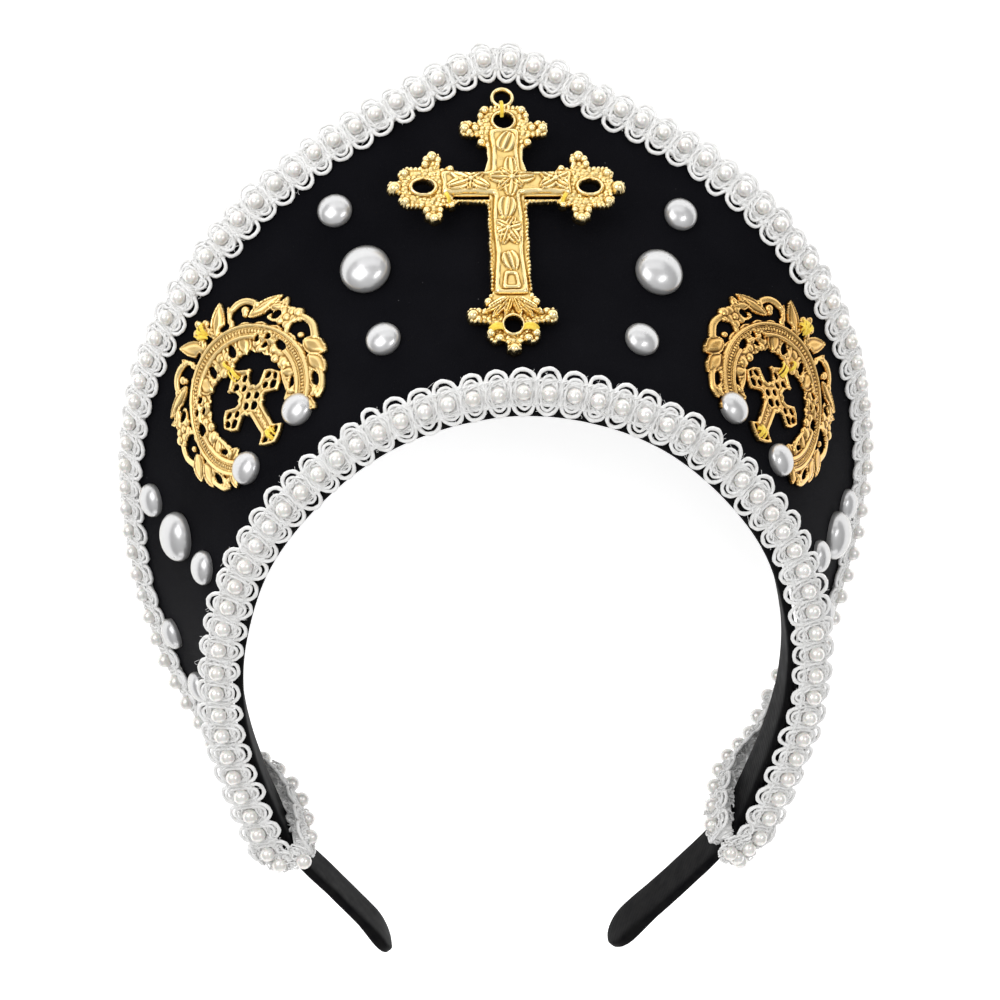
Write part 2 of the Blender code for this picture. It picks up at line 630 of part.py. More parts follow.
def build_mini_cross(name, side, tree, material):
    """A small pierced cross on a grid of cells: open squares in the ends and at the crossing."""
    frame = wreath_frame(side)
    centre_x, centre_y = MINI_CENTRES[side]
    inner = MINI_END - MINI_RIM
    columns = [-MINI_ARM, -MINI_ARM + MINI_RIM, -MINI_ARM + 2 * MINI_END - MINI_RIM,
               -MINI_ARM + 2 * MINI_END, -MINI_BAR]
    columns = columns + [-x for x in reversed(columns)]
    rows = [-MINI_FOOT, -MINI_FOOT + MINI_RIM, -MINI_FOOT + 2 * MINI_END - MINI_RIM,
            -MINI_FOOT + 2 * MINI_END, -MINI_BAR, MINI_BAR, MINI_HEAD - 2 * MINI_END,
            MINI_HEAD - 2 * MINI_END + MINI_RIM, MINI_HEAD - MINI_RIM, MINI_HEAD]
    across = (-MINI_END, -inner, -MINI_BAR, MINI_BAR, inner, MINI_END)
    columns = sorted(set(round(x, 4) for x in columns + list(across)))
    rows = sorted(set(round(y, 4) for y in rows + list(across)))

    def solid(x, y):
        bar = (abs(x) < MINI_BAR and -MINI_FOOT < y < MINI_HEAD) or (abs(y) < MINI_BAR and abs(x) < MINI_ARM)
        metal = bar
        for cx, cy in ((MINI_ARM - MINI_END, 0), (MINI_END - MINI_ARM, 0),
                       (0, MINI_HEAD - MINI_END), (0, MINI_END - MINI_FOOT)):
            reach = max(abs(x - cx), abs(y - cy))
            if reach < MINI_END:
                metal = reach > inner
        return metal

    mesh = bmesh.new()
    corners = {}

    def corner(i, j, top):
        if (i, j, top) not in corners:
            point = drape(tree, frame, columns[i] + centre_x, rows[j] + centre_y, MINI_THICK * top)
            corners[i, j, top] = mesh.verts.new(point)
        return corners[i, j, top]

    def cell(i, j):
        if not (0 <= i < len(columns) - 1 and 0 <= j < len(rows) - 1):
            return False
        return solid((columns[i] + columns[i + 1]) / 2, (rows[j] + rows[j + 1]) / 2)

    for i in range(len(columns) - 1):
        for j in range(len(rows) - 1):
            if not cell(i, j):
                continue
            around = ((i, j), (i + 1, j), (i + 1, j + 1), (i, j + 1))
            mesh.faces.new([corner(*at, 1) for at in around])
            mesh.faces.new([corner(*at, 0) for at in reversed(around)])
            for n, beside in enumerate(((i, j - 1), (i + 1, j), (i, j + 1), (i - 1, j))):
                if not cell(*beside):
                    a, b = around[n], around[(n + 1) % 4]
                    mesh.faces.new((corner(*a, 1), corner(*b, 1), corner(*b, 0), corner(*a, 0)))
    bmesh.ops.recalc_face_normals(mesh, faces=mesh.faces)
    bmesh.ops.dissolve_limit(mesh, angle_limit=math.radians(1.5), verts=mesh.verts, edges=mesh.edges)
    bmesh.ops.triangulate(mesh, faces=mesh.faces)
    return finish(name, mesh, material)


def ellipse(x, y, half_width, half_height, sides):
    turns = [math.tau * (k + 0.5) / sides for k in range(sides)]
    return [Vector((x + half_width * math.cos(turn), y + half_height * math.sin(turn))) for turn in turns]


def inside(point, loop):
    """Even-odd test of a flat point against a closed loop."""
    odd = False
    for a, b in zip(loop, loop[1:] + loop[:1]):
        if (a.y > point.y) != (b.y > point.y):
            if point.x < a.x + (point.y - a.y) * (b.x - a.x) / (b.y - a.y):
                odd = not odd
    return odd


def fill(mesh, outer, holes):
    """Fills a flat outline round its holes; each loop is a list of (flat point, vertex)."""
    loops = [outer, *holes]
    flat = [point for loop in loops for point, _ in loop]
    verts = [vert for loop in loops for _, vert in loop]
    edges = []
    start = 0
    for loop in loops:
        edges += [(start + k, start + (k + 1) % len(loop)) for k in range(len(loop))]
        start += len(loop)
    triangles = geometry.delaunay_2d_cdt(flat, edges, [], 0, 1e-6)[2]
    outline = [point for point, _ in outer]
    cuts = [[point for point, _ in hole] for hole in holes]
    for triangle in triangles:
        centre = sum((flat[k] for k in triangle), Vector((0, 0))) / 3
        if inside(centre, outline) and not any(inside(centre, cut) for cut in cuts):
            mesh.faces.new([verts[k] for k in triangle])


def wall(mesh, low, high):
    for k in range(len(low)):
        after = (k + 1) % len(low)
        mesh.faces.new((low[k][1], low[after][1], high[after][1], high[k][1]))


def cross_loops():
    """The large cross's outline with its ring, and its openings, as flat loops."""
    right = [Vector(row) for row in CROSS_OUTLINE]
    ring = []
    for k in range(1, RING_SIDES):
        turn = math.radians(-60 + 300 * k / RING_SIDES)
        ring.append(Vector((RING_OUTER * math.cos(turn), RING_CENTRE_Y + RING_OUTER * math.sin(turn))))
    left = [Vector((-point.x, point.y)) for point in reversed(right)]
    tip = [Vector((0, right[0].y - 0.9))]
    outline = tip + right + ring + left
    openings = [ellipse(*row, CROSS_HOLE_SIDES) for row in CROSS_HOLES]
    openings.append(ellipse(0, RING_CENTRE_Y, RING_INNER, RING_INNER, CROSS_HOLE_SIDES))
    for start, end in CROSS_SLOTS:
        low, high = CROSS_SLOT_Y
        openings.append([Vector((start, low)), Vector((end, low)), Vector((end, high)), Vector((start, high))])
    return outline, openings


def build_cross(tree, material):
    """The cast cross: a pierced plate with a raised panel and flowers chased on it."""
    frame = halo_frame(CROSS_ALONG, CROSS_ACROSS, HALO_THICK / 2)
    frame = frame @ Matrix.Rotation(math.radians(CROSS_TURN), 4, "Z")
    outline, openings = cross_loops()
    lift = seat(tree, frame, [(point.x, point.y) for point in outline] + list(CROSS_SPINE))
    mesh = bmesh.new()

    def raise_loop(loop, height):
        return [(point, mesh.verts.new(frame @ Vector((point.x, point.y, lift + height)))) for point in loop]

    half = [Vector(row) for row in PANEL_OUTLINE]
    foot_loop = half + [Vector((-point.x, point.y)) for point in reversed(half)]
    taper = [Vector((point.x - math.copysign(PANEL_TAPER, point.x), point.y)) for point in foot_loop]
    for point in taper:
        point.y -= math.copysign(PANEL_TAPER, point.y - 1.2)
    bottom = raise_loop(outline, 0)
    top = raise_loop(outline, CROSS_THICK)
    foot = raise_loop(foot_loop, CROSS_THICK)
    crest = raise_loop(taper, CROSS_THICK + PANEL_RISE)
    wall(mesh, bottom, top)
    wall(mesh, foot, crest)
    low_cuts = []
    high_cuts = []
    for opening in openings:
        low_cuts.append(raise_loop(opening, 0))
        high_cuts.append(raise_loop(opening, CROSS_THICK))
        wall(mesh, low_cuts[-1], high_cuts[-1])
    fill(mesh, bottom, low_cuts)
    fill(mesh, top, high_cuts + [foot])
    flowers = []
    for x, y in FLOWERS:
        petals = raise_loop(ellipse(x, y, FLOWER_RADIUS, FLOWER_RADIUS, 8), CROSS_THICK + PANEL_RISE)
        peak = mesh.verts.new(frame @ Vector((x, y, lift + CROSS_THICK + PANEL_RISE + FLOWER_RISE)))
        for k in range(len(petals)):
            mesh.faces.new((petals[k][1], petals[(k + 1) % len(petals)][1], peak))
        flowers.append(petals)
    fill(mesh, crest, flowers)
    return finish("cross", mesh, material)


def build():
    for old in list(bpy.data.objects):
        bpy.data.objects.remove(old)
    satin = make_material("satin_band", SATIN, 0.55)
    velvet = make_material("black_velvet", VELVET, 0.95)
    lace = make_material("pearl_lace", LACE, 0.7)
    pearl = make_material("pearl", PEARL, 0.25)
    bright = make_material("bright_gilt", BRIGHT_GILT, 0.3, 1.0)
    dark = make_material("dark_gilt", DARK_GILT, 0.35, 1.0)

    build_band(satin)
    tree = build_halo(velvet)[1]
    build_pearl_ribbon("inner_trim", ribbon_frames_inner(), lace)
    build_pearl_ribbon("outer_trim", ribbon_frames(border_rows(1, FRONT_LOWER)), lace)
    build_ridge_ribbon("back_trim", ribbon_frames(back_rows()), lace)
    build_cross(tree, bright)
    for label, side in (("left", -1), ("right", 1)):
        build_wreath("wreath_" + label, side, tree, dark)
        build_mini_cross("small_cross_" + label, side, tree, dark)
    for name, side, along, across, radius in PEARLS:
        build_pearl(name, halo_frame(side * along, across, HALO_THICK / 2), radius, tree, pearl)


build()
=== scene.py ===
"""The looks of the crown headband: velvet halo, beaded lace, half-round pearls and gilt castings.

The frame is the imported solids, front up on the table. The shapes are worked out in the crown's
own frame in millimetres (x right, y to the peak, z out of the front) and REST lays them down.
"""
import math

import bpy
import numpy as np
from mathutils import Matrix, Vector
from mathutils.bvhtree import BVHTree


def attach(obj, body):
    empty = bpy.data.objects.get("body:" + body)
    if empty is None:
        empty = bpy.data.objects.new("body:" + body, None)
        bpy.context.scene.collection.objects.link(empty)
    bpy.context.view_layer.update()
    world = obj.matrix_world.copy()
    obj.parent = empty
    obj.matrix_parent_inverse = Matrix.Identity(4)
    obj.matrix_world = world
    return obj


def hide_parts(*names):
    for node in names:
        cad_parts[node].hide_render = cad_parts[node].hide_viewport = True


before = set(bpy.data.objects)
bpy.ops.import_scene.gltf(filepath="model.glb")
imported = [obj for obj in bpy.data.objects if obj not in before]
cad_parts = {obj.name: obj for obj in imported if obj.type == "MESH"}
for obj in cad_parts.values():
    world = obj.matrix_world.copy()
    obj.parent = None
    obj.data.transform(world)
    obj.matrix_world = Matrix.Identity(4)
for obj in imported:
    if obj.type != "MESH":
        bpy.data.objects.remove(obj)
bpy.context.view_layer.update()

TAU = 2 * math.pi
rng = np.random.default_rng(7)

# How the crown lies
MM = 0.001
REST_TILT = 10.95         # degrees
REST_SHIFT_Y = -2.2       # mm
REST_LIFT = 72.95         # mm
REST = (Matrix.Translation((0, REST_SHIFT_Y * MM, REST_LIFT * MM))
        @ Matrix.Rotation(math.radians(REST_TILT), 4, "X") @ Matrix.Scale(MM, 4))

# Headband and halo, as in the solids
BAND_LINE = (
    # x, y of the strip's centre line, right half from the peak to the tip
    (0.0, 42.3), (20.0, 39.0), (37.5, 30.5), (53.0, 16.0), (64.0, -1.0), (69.5, -21.0),
    (70.2, -38.0), (67.5, -54.0), (61.8, -71.5), (56.0, -85.0), (46.0, -97.0),
    (36.0, -107.5), (26.5, -118.0),
)
LEFT_LEAN = (-4.5, 1.0)   # how far the left tip is bent away
LEAN_FROM = 0.85
FRONT_Z = -2.7
BAND_WIDTH = 14.0
BAND_THICK = 2.6
BAND_SIDES = 36
TIP_LENGTH = 7.0
TIP_SWELL = 0.35
HALO_EDGE = (
    # x, y, z of the board's middle along its outer edge, right half from the peak down
    (0.0, 98.5, -88.0), (14.0, 94.0, -86.0), (30.0, 87.0, -81.0), (46.0, 79.5, -75.0),
    (61.0, 69.5, -69.0), (73.0, 57.0, -65.0), (84.0, 39.0, -63.0), (90.5, 21.0, -63.0),
    (93.5, 1.0, -63.5), (93.0, -18.0, -63.0), (90.0, -36.0, -61.5), (84.0, -55.0, -57.0),
    (73.0, -74.5, -47.0),
)
HALO_THICK = 2.4
HALO_CLEARANCE = 0.4
HALO_BOW = 2.5
HALO_END = 0.79           # where the board ends along the band
BOARD_WIDTH = 85.0        # roughly, for the width of the rounded rim
BOARD_HALF = 240.0
CORNER_RUN = 0.07         # the rounded lower corners, as shares of length and width
CORNER_DROP = 0.20
GAP = 0.3                 # between the velvet and what lies on it
DRAPE_GAP = 0.35

# Lace tape: one repeat per bead
BEAD_PITCH = 6.25
BEAD_RADIUS = 2.02
BEAD_CENTRE = 2.35        # height over the tape's back
RIBBON_THICK = 1.3        # of the solid tape, and how far its bead row stands over it
BEAD_RISE = 0.9
INNER_BEADS = 57
INNER_OFFSET_PEAK = 7.1   # of the inner bead row from the band's middle
INNER_OFFSET_END = 4.6
INNER_LEAN = 20.0         # degrees outward
FRONT_LOWER = (0.12, 0.30, 0.52, 0.68)   # across, where the front lace goes down the board's ends
BACK_WRAP = (
    # x, y, z of the rear bead row where it wraps forward over the band, right end
    (52.0, -82.0, -3.5), (52.2, -80.9, -6.9), (52.8, -79.0, -12.7), (53.9, -77.2, -18.4),
    (55.9, -76.0, -24.0), (59.0, -75.4, -30.0),
)
LOOPS = (
    # half width, reach of the straight part, cord radius, points, sides, height at middle and tip
    (2.85, 2.75, 0.52, 28, 6, 1.15, 0.60),
    (1.90, 2.35, 0.42, 20, 5, 1.45, 0.90),
)
COLLAR_RADIUS = 2.50
COLLAR_DEPTH = 0.30       # of its lobes
COLLAR_CORD = 0.27
COLLAR_POINTS = 20
COLLAR_LOBES = 5
BRIDGES = (
    # along and across of both ends of a short cord in each repeat
    (-3.1, 0.6, -1.2, 3.4), (3.1, 0.6, 1.2, 3.4), (-3.1, -0.6, -1.2, -3.4), (3.1, -0.6, 1.2, -3.4),
    (-1.8, 2.2, 1.8, 3.0), (1.8, -2.2, -1.8, -3.0),
)
LOOP_WOBBLE = 0.24
LOOP_WAVE = 0.07
POST_REACH = 3.3
POST_RADIUS = 0.36
CHAIN_ACROSS = 2.95
CHAIN_WAVE = 2.6
TAPE_HALF = 3.5
TAPE_SECTION = (
    # across, height
    (-TAPE_HALF, 0.1), (TAPE_HALF, 0.1), (TAPE_HALF, 0.8), (1.5, 1.15), (0, 1.2), (-1.5, 1.15),
    (-TAPE_HALF, 0.8),
)
BEAD_SIDES = 14
BEAD_RINGS = 9
HAIRS = 6                 # loose fibres in each repeat
HAIR_RADIUS = 0.045
WRAP_RUN = 52.0           # length of the rear tape's ends that are bunched up to the band
WRAP_DEPTH = 1.6
TUFTS = 34                # short curls of cord in each repeat of a gathered end
TUFT_POINTS = 6
KNOTS = (
    # side, reach past the tape's end, loose beads there as (past the end, across, height)
    (-1, 3.0, ((0.9, -1.7, 2.3), (1.6, -8.7, 2.6))),
    (1, 5.6, ((0.7, -1.4, 2.35), (3.9, -3.3, 2.3), (5.2, -1.0, 1.8), (2.9, -6.2, 2.6))),
)
KNOT_ACROSS = (-9.3, 2.2)
KNOT_CURLS = 26           # for each millimetre of a knot's length
KNOT_THREADS = 24
KNOT_CORD = 0.27
KNOT_THREAD = 0.06

# Half-round pearls
PEARL_SIDES = 40
PEARL_RINGS = 12

# Castings: places on the halo, left (-1) and right (1)
CROSS_ACROSS = 0.617
CROSS_TURN = -1.3         # degrees
CROSS_REACH = 52          # millimetres of velvet to look up round each middle
WREATH_REACH = 34
WREATH_PLACES = {-1: (0.397, 0.490), 1: (0.401, 0.470)}
WREATH_TURN = 14.0
WREATH_CENTRES = {-1: (-0.8, -1.2), 1: (2.1, -1.2)}
MINI_CENTRES = {-1: (0.4, -1.7), 1: (0.8, -1.7)}


def unit(v):
    return v / np.linalg.norm(v, axis=-1, keepdims=True)


def smooth(x):
    x = np.clip(x, 0, 1)
    return x * x * (3 - 2 * x)


def quarter_round(x):
    return np.sqrt(1 - (1 - np.clip(x, 0, 1)) ** 2)


def half_round(x):
    return np.sqrt(np.clip(1 - x ** 2, 0, 1))


def signed_power(x, power):
    return np.sign(x) * np.abs(x) ** power


def turns(count, start=0.0):
    """Angles evenly round a circle."""
    return TAU * (np.arange(count) + start) / count


def local(frame_axes, x, y, z):
    """Points at x, y, z on an origin with three axes."""
    origin, side, rise, normal = frame_axes
    return origin + side * x[..., None] + rise * y[..., None] + normal * z[..., None]


class Path:
    """A smooth curve through points, read by its arc share from -1 to 1."""

    STEPS = 16

    def __init__(self, points):
        p = np.asarray(points, float)
        p = np.vstack([2 * p[0] - p[1], p, 2 * p[-1] - p[-2]])
        t = (np.arange(self.STEPS) / self.STEPS)[None, :, None]
        a, b, c, d = (p[k:len(p) - 3 + k, None] for k in range(4))
        dense = 0.5 * (2 * b + (c - a) * t + (2 * a - 5 * b + 4 * c - d) * t ** 2
                       + (3 * b - a - 3 * c + d) * t ** 3)
        self.points = np.vstack([dense.reshape(-1, p.shape[1]), p[-2]])
        steps = np.linalg.norm(np.diff(self.points, axis=0), axis=1)
        self.runs = np.concatenate([[0], np.cumsum(steps)])
        self.length = self.runs[-1]

    def at(self, share):
        run = (np.asarray(share, float) + 1) / 2 * self.length
        return np.stack([np.interp(run, self.runs, column) for column in self.points.T], -1)

    def along(self, share, step=0.004):
        return unit(self.at(np.minimum(share + step, 1)) - self.at(np.maximum(share - step, -1)))


def mirrored_path(half):
    right = np.array(half, float)
    left = right[:0:-1] * ([-1] + [1] * (right.shape[1] - 1))
    return Path(np.vstack([left, right]))


BAND_PATH = mirrored_path([(x, y, 0) for x, y in BAND_LINE])
EDGE_PATH = mirrored_path(HALO_EDGE)


def band_outward(share):
    run = BAND_PATH.along(share)
    return np.stack([-run[..., 1], run[..., 0], 0 * run[..., 0]], -1)


def halo_middle(along, across):
    """Points in the middle of the board; along -1 to 1, across from the band to the edge."""
    along, across = np.broadcast_arrays(np.asarray(along, float), np.asarray(across, float))
    share = along * HALO_END
    rim_offset = BAND_THICK / 2 + HALO_CLEARANCE + HALO_THICK / 2
    rim = BAND_PATH.at(share) + band_outward(share) * rim_offset
    rim[..., 2] = FRONT_Z
    edge = EDGE_PATH.at(along)
    step = 0.004
    rim_run = BAND_PATH.at(share + step) - BAND_PATH.at(share - step)
    edge_run = EDGE_PATH.at(np.minimum(along + step, 1)) - EDGE_PATH.at(np.maximum(along - step, -1))
    r = across[..., None]
    normal = unit(np.cross(rim_run * (1 - r) + edge_run * r, edge - rim))
    return rim * (1 - r) + edge * r - normal * HALO_BOW * 4 * r * (1 - r)


def halo_frame(along, across, height=0.0):
    """Origin and the three axes on the board: side, rise to the outer edge, out of its face."""
    along, across = np.broadcast_arrays(np.asarray(along, float), np.asarray(across, float))
    step = 0.006
    before, after = np.maximum(along - step, -1), np.minimum(along + step, 1)
    run = halo_middle(after, across) - halo_middle(before, across)
    rise = unit(halo_middle(along, across + step) - halo_middle(along, across - step))
    normal = unit(np.cross(run, rise))
    return halo_middle(along, across) + normal * height, np.cross(rise, normal), rise, normal


def corner_across(along):
    over = np.clip((np.abs(along) - 1 + CORNER_RUN) / CORNER_RUN, 0, 1)
    return 1 - CORNER_DROP * (1 - np.sqrt(1 - over ** 2))


class Soup:
    """Points and faces of one piece, gathered part by part."""

    def __init__(self):
        self.points = []
        self.faces = []
        self.count = 0

    def add(self, points, *face_arrays):
        points = points.reshape(-1, 3)
        self.points.append(points)
        for faces in face_arrays:
            self.faces += (np.asarray(faces) + self.count).tolist()
        self.count += len(points)

    def add_tube(self, rings, flip=False):
        """A tube through rings of points, closed at both ends."""
        count, sides = rings.shape[:2]
        ring = np.arange(sides)[None]
        faces = grid_faces(count, sides, wrap_columns=True), ring[:, ::-1], (count - 1) * sides + ring
        self.add(rings, *(each[:, ::-1] if flip else each for each in faces))


def make_piece(name, soup, material, nodes, relief=None, sharp=50):
    """Links one mesh in the rest frame, parents it to the root body and hides the solids it stands for."""
    points = np.concatenate(soup.points)
    turn = np.array(REST.to_3x3())
    points = points @ turn.T + np.array(REST.translation)
    data = bpy.data.meshes.new(name)
    data.from_pydata(points.tolist(), [], soup.faces)
    # relief here is the castings' painted shade and highlight value per point
    if relief is not None:
        data.attributes.new("relief", "FLOAT", "POINT").data.foreach_set("value", relief)
    data.materials.append(material)
    data.shade_smooth()
    data.set_sharp_from_angle(angle=math.radians(sharp))
    thing = bpy.data.objects.new(name, data)
    bpy.context.scene.collection.objects.link(thing)
    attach(thing, "root")
    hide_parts(*nodes)
    return thing


def grid_faces(rows, columns, wrap_rows=False, wrap_columns=False):
    """Quads over a grid of points numbered row by row."""
    i = np.arange(rows if wrap_rows else rows - 1)[:, None]
    j = np.arange(columns if wrap_columns else columns - 1)[None, :]
    after_i, after_j = (i + 1) % rows, (j + 1) % columns
    i, after_i = i * columns, after_i * columns
    return np.stack((i + j, i + after_j, after_i + after_j, after_i + j), -1).reshape(-1, 4)


def sweep(soup, paths, ups, radius, sides=6, closed=False, twist=0.75, ply=0.16):
    """Two-ply cords along many polylines of equal length; paths and ups are (count, steps, 3)."""
    count, steps, _ = paths.shape
    if closed:
        run = unit(np.roll(paths, -1, axis=1) - np.roll(paths, 1, axis=1))
    else:
        run = unit(np.gradient(paths, axis=1))
    side = unit(np.cross(run, ups))
    lift = np.cross(side, run)
    turn = turns(sides)
    phase = twist * np.arange(steps)[:, None]
    size = radius * (1 + ply * np.cos(2 * (turn[None] - phase)))
    x, z = size * np.cos(turn), size * np.sin(turn)
    points = (paths[:, :, None] + side[:, :, None] * x[None, :, :, None]
              + lift[:, :, None] * z[None, :, :, None])
    faces = grid_faces(steps, sides, wrap_rows=closed, wrap_columns=True)
    start = (np.arange(count) * steps * sides)[:, None, None]
    caps = []
    if not closed:
        ring = np.arange(sides)
        caps = [start[:, 0] + ring[::-1], start[:, 0] + (steps - 1) * sides + ring]
    soup.add(points, (faces[None] + start).reshape(-1, 4), *caps)


class Chart:
    """A tape's own frame: place along its run, across it and height over its back."""

    def __init__(self, centres, alongs, ups):
        steps = np.linalg.norm(np.diff(centres, axis=0), axis=1)
        self.runs = np.concatenate([[0], np.cumsum(steps)])
        ups = unit(ups - alongs * np.sum(ups * alongs, -1, keepdims=True))
        self.table = np.hstack([centres, ups, np.cross(ups, alongs)])
        self.beads = round(self.runs[-1] / BEAD_PITCH)
        self.pitch = self.runs[-1] / self.beads
        self.middles = (np.arange(self.beads) + 0.5) * self.pitch

    def place(self, run, across, height):
        """Points and upward directions."""
        run, across, height = np.broadcast_arrays(run, across, height)
        row = np.stack([np.interp(run, self.runs, column) for column in self.table.T], -1)
        centre, up, side = row[..., 0:3], row[..., 3:6], row[..., 6:9]
        return centre + side * across[..., None] + up * height[..., None], up


def inner_chart():
    share = np.linspace(-HALO_END, HALO_END, 121)
    offset = INNER_OFFSET_END + (INNER_OFFSET_PEAK - INNER_OFFSET_END) * (1 - np.abs(share))
    path = Path(BAND_PATH.at(share) + band_outward(share) * offset[:, None])
    reach = INNER_BEADS * BEAD_PITCH / path.length
    place = np.clip(reach * np.linspace(-1, 1, 1400), -1, 1)
    run = path.along(place)
    out = np.stack([-run[:, 1], run[:, 0], 0 * run[:, 0]], -1)
    lean = math.radians(INNER_LEAN)
    up = np.array([0, 0, 1.0]) * math.cos(lean) + out * math.sin(lean)
    return Chart(path.at(place) - up * (BEAD_RISE + RIBBON_THICK), run, up)


def border_rows(side, lower):
    """Points and outward directions round the halo's free border, front (1) or back (-1)."""
    turn = np.radians(90 - 22.5 * np.arange(5))
    corner = list(zip(1 - CORNER_RUN + CORNER_RUN * np.sin(turn),
                      1 - CORNER_DROP + CORNER_DROP * np.cos(turn)))
    top_steps = 24
    top = [((1 - CORNER_RUN) * (1 - step / top_steps), 1.0) for step in range(1, top_steps + 1)]
    right = [(1.0, across) for across in lower] + corner + top
    route = np.array(right + [(-along, across) for along, across in reversed(right[:-1])])
    points, _, _, normal = halo_frame(route[:, 0], route[:, 1])
    return points + normal * side * (HALO_THICK / 2 + GAP), normal * side


def border_chart(points, normals):
    path = Path(points)
    knots = path.runs[::Path.STEPS] / path.length * 2 - 1
    share = np.linspace(-1, 1, 2400)
    ups = np.stack([np.interp(share, knots, column) for column in normals.T], -1)
    return Chart(path.at(share), path.along(share), unit(ups))


def back_chart():
    inward = -band_outward(np.float64(HALO_END - 0.03))
    wrap = np.array(BACK_WRAP) - inward * (RIBBON_THICK + BEAD_RISE)
    flip = np.array([-1.0, 1, 1])
    points, normals = border_rows(-1, ())
    directions = np.tile(inward, (len(wrap), 1))
    return border_chart(np.vstack([wrap, points, wrap[::-1] * flip]),
                        np.vstack([directions, normals, directions * flip]))


def gather_depth(run, length, gathered):
    """How far a gathered end is padded out behind the tape, by place along the tape."""
    ends = np.minimum(run, length - run)
    middle = np.clip(1 - np.abs(ends / max(gathered, 1) - 0.55) / 0.4, 0, 1)
    return WRAP_DEPTH * smooth((gathered - ends) / 8) * (1 + 1.7 * smooth(middle)) * (gathered > 10)


def lay_cords(soup, chart, run, across, height, radius, **kind):
    """Cords along places on a tape."""
    places, ups = chart.place(run, across, height)
    sweep(soup, places, ups, radius, **kind)


def lay_loops(soup, chart):
    """In each repeat two long loops across the tape, one inside the other, no two alike."""
    middles = chart.middles[:, None]
    for half_width, straight, radius, count, sides, high, low in LOOPS:
        turn = turns(count)
        across = half_width * np.cos(turn) + straight * np.tanh(2.5 * np.cos(turn))
        tip = smooth((np.abs(across) - 2.2) / 3.2)
        shift = rng.normal(0, LOOP_WOBBLE, (chart.beads, 2)).clip(-0.5, 0.4)
        stretch = np.where(across > 0, shift[:, :1], -shift[:, 1:]) * tip
        skew = rng.normal(0, LOOP_WOBBLE, middles.shape) * tip * np.sign(across)
        wave = LOOP_WAVE * np.sin(4 * turn + TAU * rng.random(middles.shape))
        along = half_width * np.sin(turn) * rng.normal(1, 0.05, middles.shape) + skew + wave
        across = across + stretch + LOOP_WAVE * np.sin(3 * turn + TAU * rng.random(middles.shape))
        height = high + (low - high) * tip + rng.normal(0, 0.16, middles.shape) * tip + 0.6 * wave
        lay_cords(soup, chart, middles + along, across, height, radius, sides=sides, closed=True,
                  twist=0.85, ply=0.13)


def lay_collars(soup, chart):
    """Two lobed rings round the foot of each bead, and a cord across between the repeats."""
    middles = chart.middles[:, None]
    turn = turns(COLLAR_POINTS)
    for phase in (0, math.pi):
        lean = 0.8 * rng.normal(size=middles.shape)
        lobes = COLLAR_DEPTH * np.cos(COLLAR_LOBES * turn + phase + lean)
        reach = COLLAR_RADIUS + lobes
        lay_cords(soup, chart, middles + reach * np.cos(turn), reach * np.sin(turn), 1.25 - lobes,
                  COLLAR_CORD, sides=5, closed=True)
    across = np.linspace(-POST_REACH, POST_REACH, 7)
    run = middles - chart.pitch / 2 + 0.25 * np.sin(across * 2)
    height = 1.35 + 0.35 * np.cos(across / POST_REACH * math.pi / 2)
    lay_cords(soup, chart, run, across, height, POST_RADIUS, sides=5)


def lay_fine_work(soup, chart):
    """Short bent cords between collar and loops, and loose fibres."""
    middles = chart.middles[:, None]
    t = np.linspace(0, 1, 5)
    arch = np.sin(math.pi * t)
    for x0, c0, x1, c1 in BRIDGES:
        bend = 0.3 * arch * rng.normal(1, 0.6, middles.shape)
        height = 1.25 + 0.45 * arch + rng.normal(0, 0.08, middles.shape)
        lay_cords(soup, chart, middles + x0 + (x1 - x0) * t + bend, c0 + (c1 - c0) * t + bend, height,
                  0.26, sides=4)
    t = np.linspace(0, 1, 4)
    start = np.repeat(chart.middles, HAIRS)[:, None]
    many = start.shape
    start = start + rng.uniform(-3, 3, many)
    side = np.sign(rng.normal(size=many))
    lean = rng.normal(0, 0.8, many)
    run = start + lean * t + 0.3 * np.sin(3 * t + TAU * rng.random(many))
    across = side * (rng.uniform(1.5, 5.0, many) + rng.uniform(0.5, 1.5, many) * t)
    height = 1.2 + rng.uniform(0.2, 1.0, many) * np.sin(2.4 * t)
    lay_cords(soup, chart, run, across, height, HAIR_RADIUS, sides=3, ply=0)


def lay_tape(soup, chart, gathered):
    """Chains along the tape, and its woven bed, which is padded out behind a gathered end."""
    length = chart.runs[-1]
    run = np.linspace(0.2, length - 0.2, int(length / 0.75))[None]
    for side in (-1, 1):
        for phase in (0, math.pi):
            wave = TAU * run / CHAIN_WAVE + phase
            lay_cords(soup, chart, run, side * (CHAIN_ACROSS + 0.32 * np.sin(wave)),
                      1.35 + 0.22 * np.cos(wave), 0.34, sides=4, twist=0.4)
    run = np.linspace(0, length, int(length / 0.9))[:, None]
    across, height = np.array(TAPE_SECTION).T
    top = height > 0.5
    height = height + 0.12 * rng.normal(size=run.shape) * top
    height = height - gather_depth(run, length, gathered) * ~top
    soup.add_tube(chart.place(run, across, height)[0])


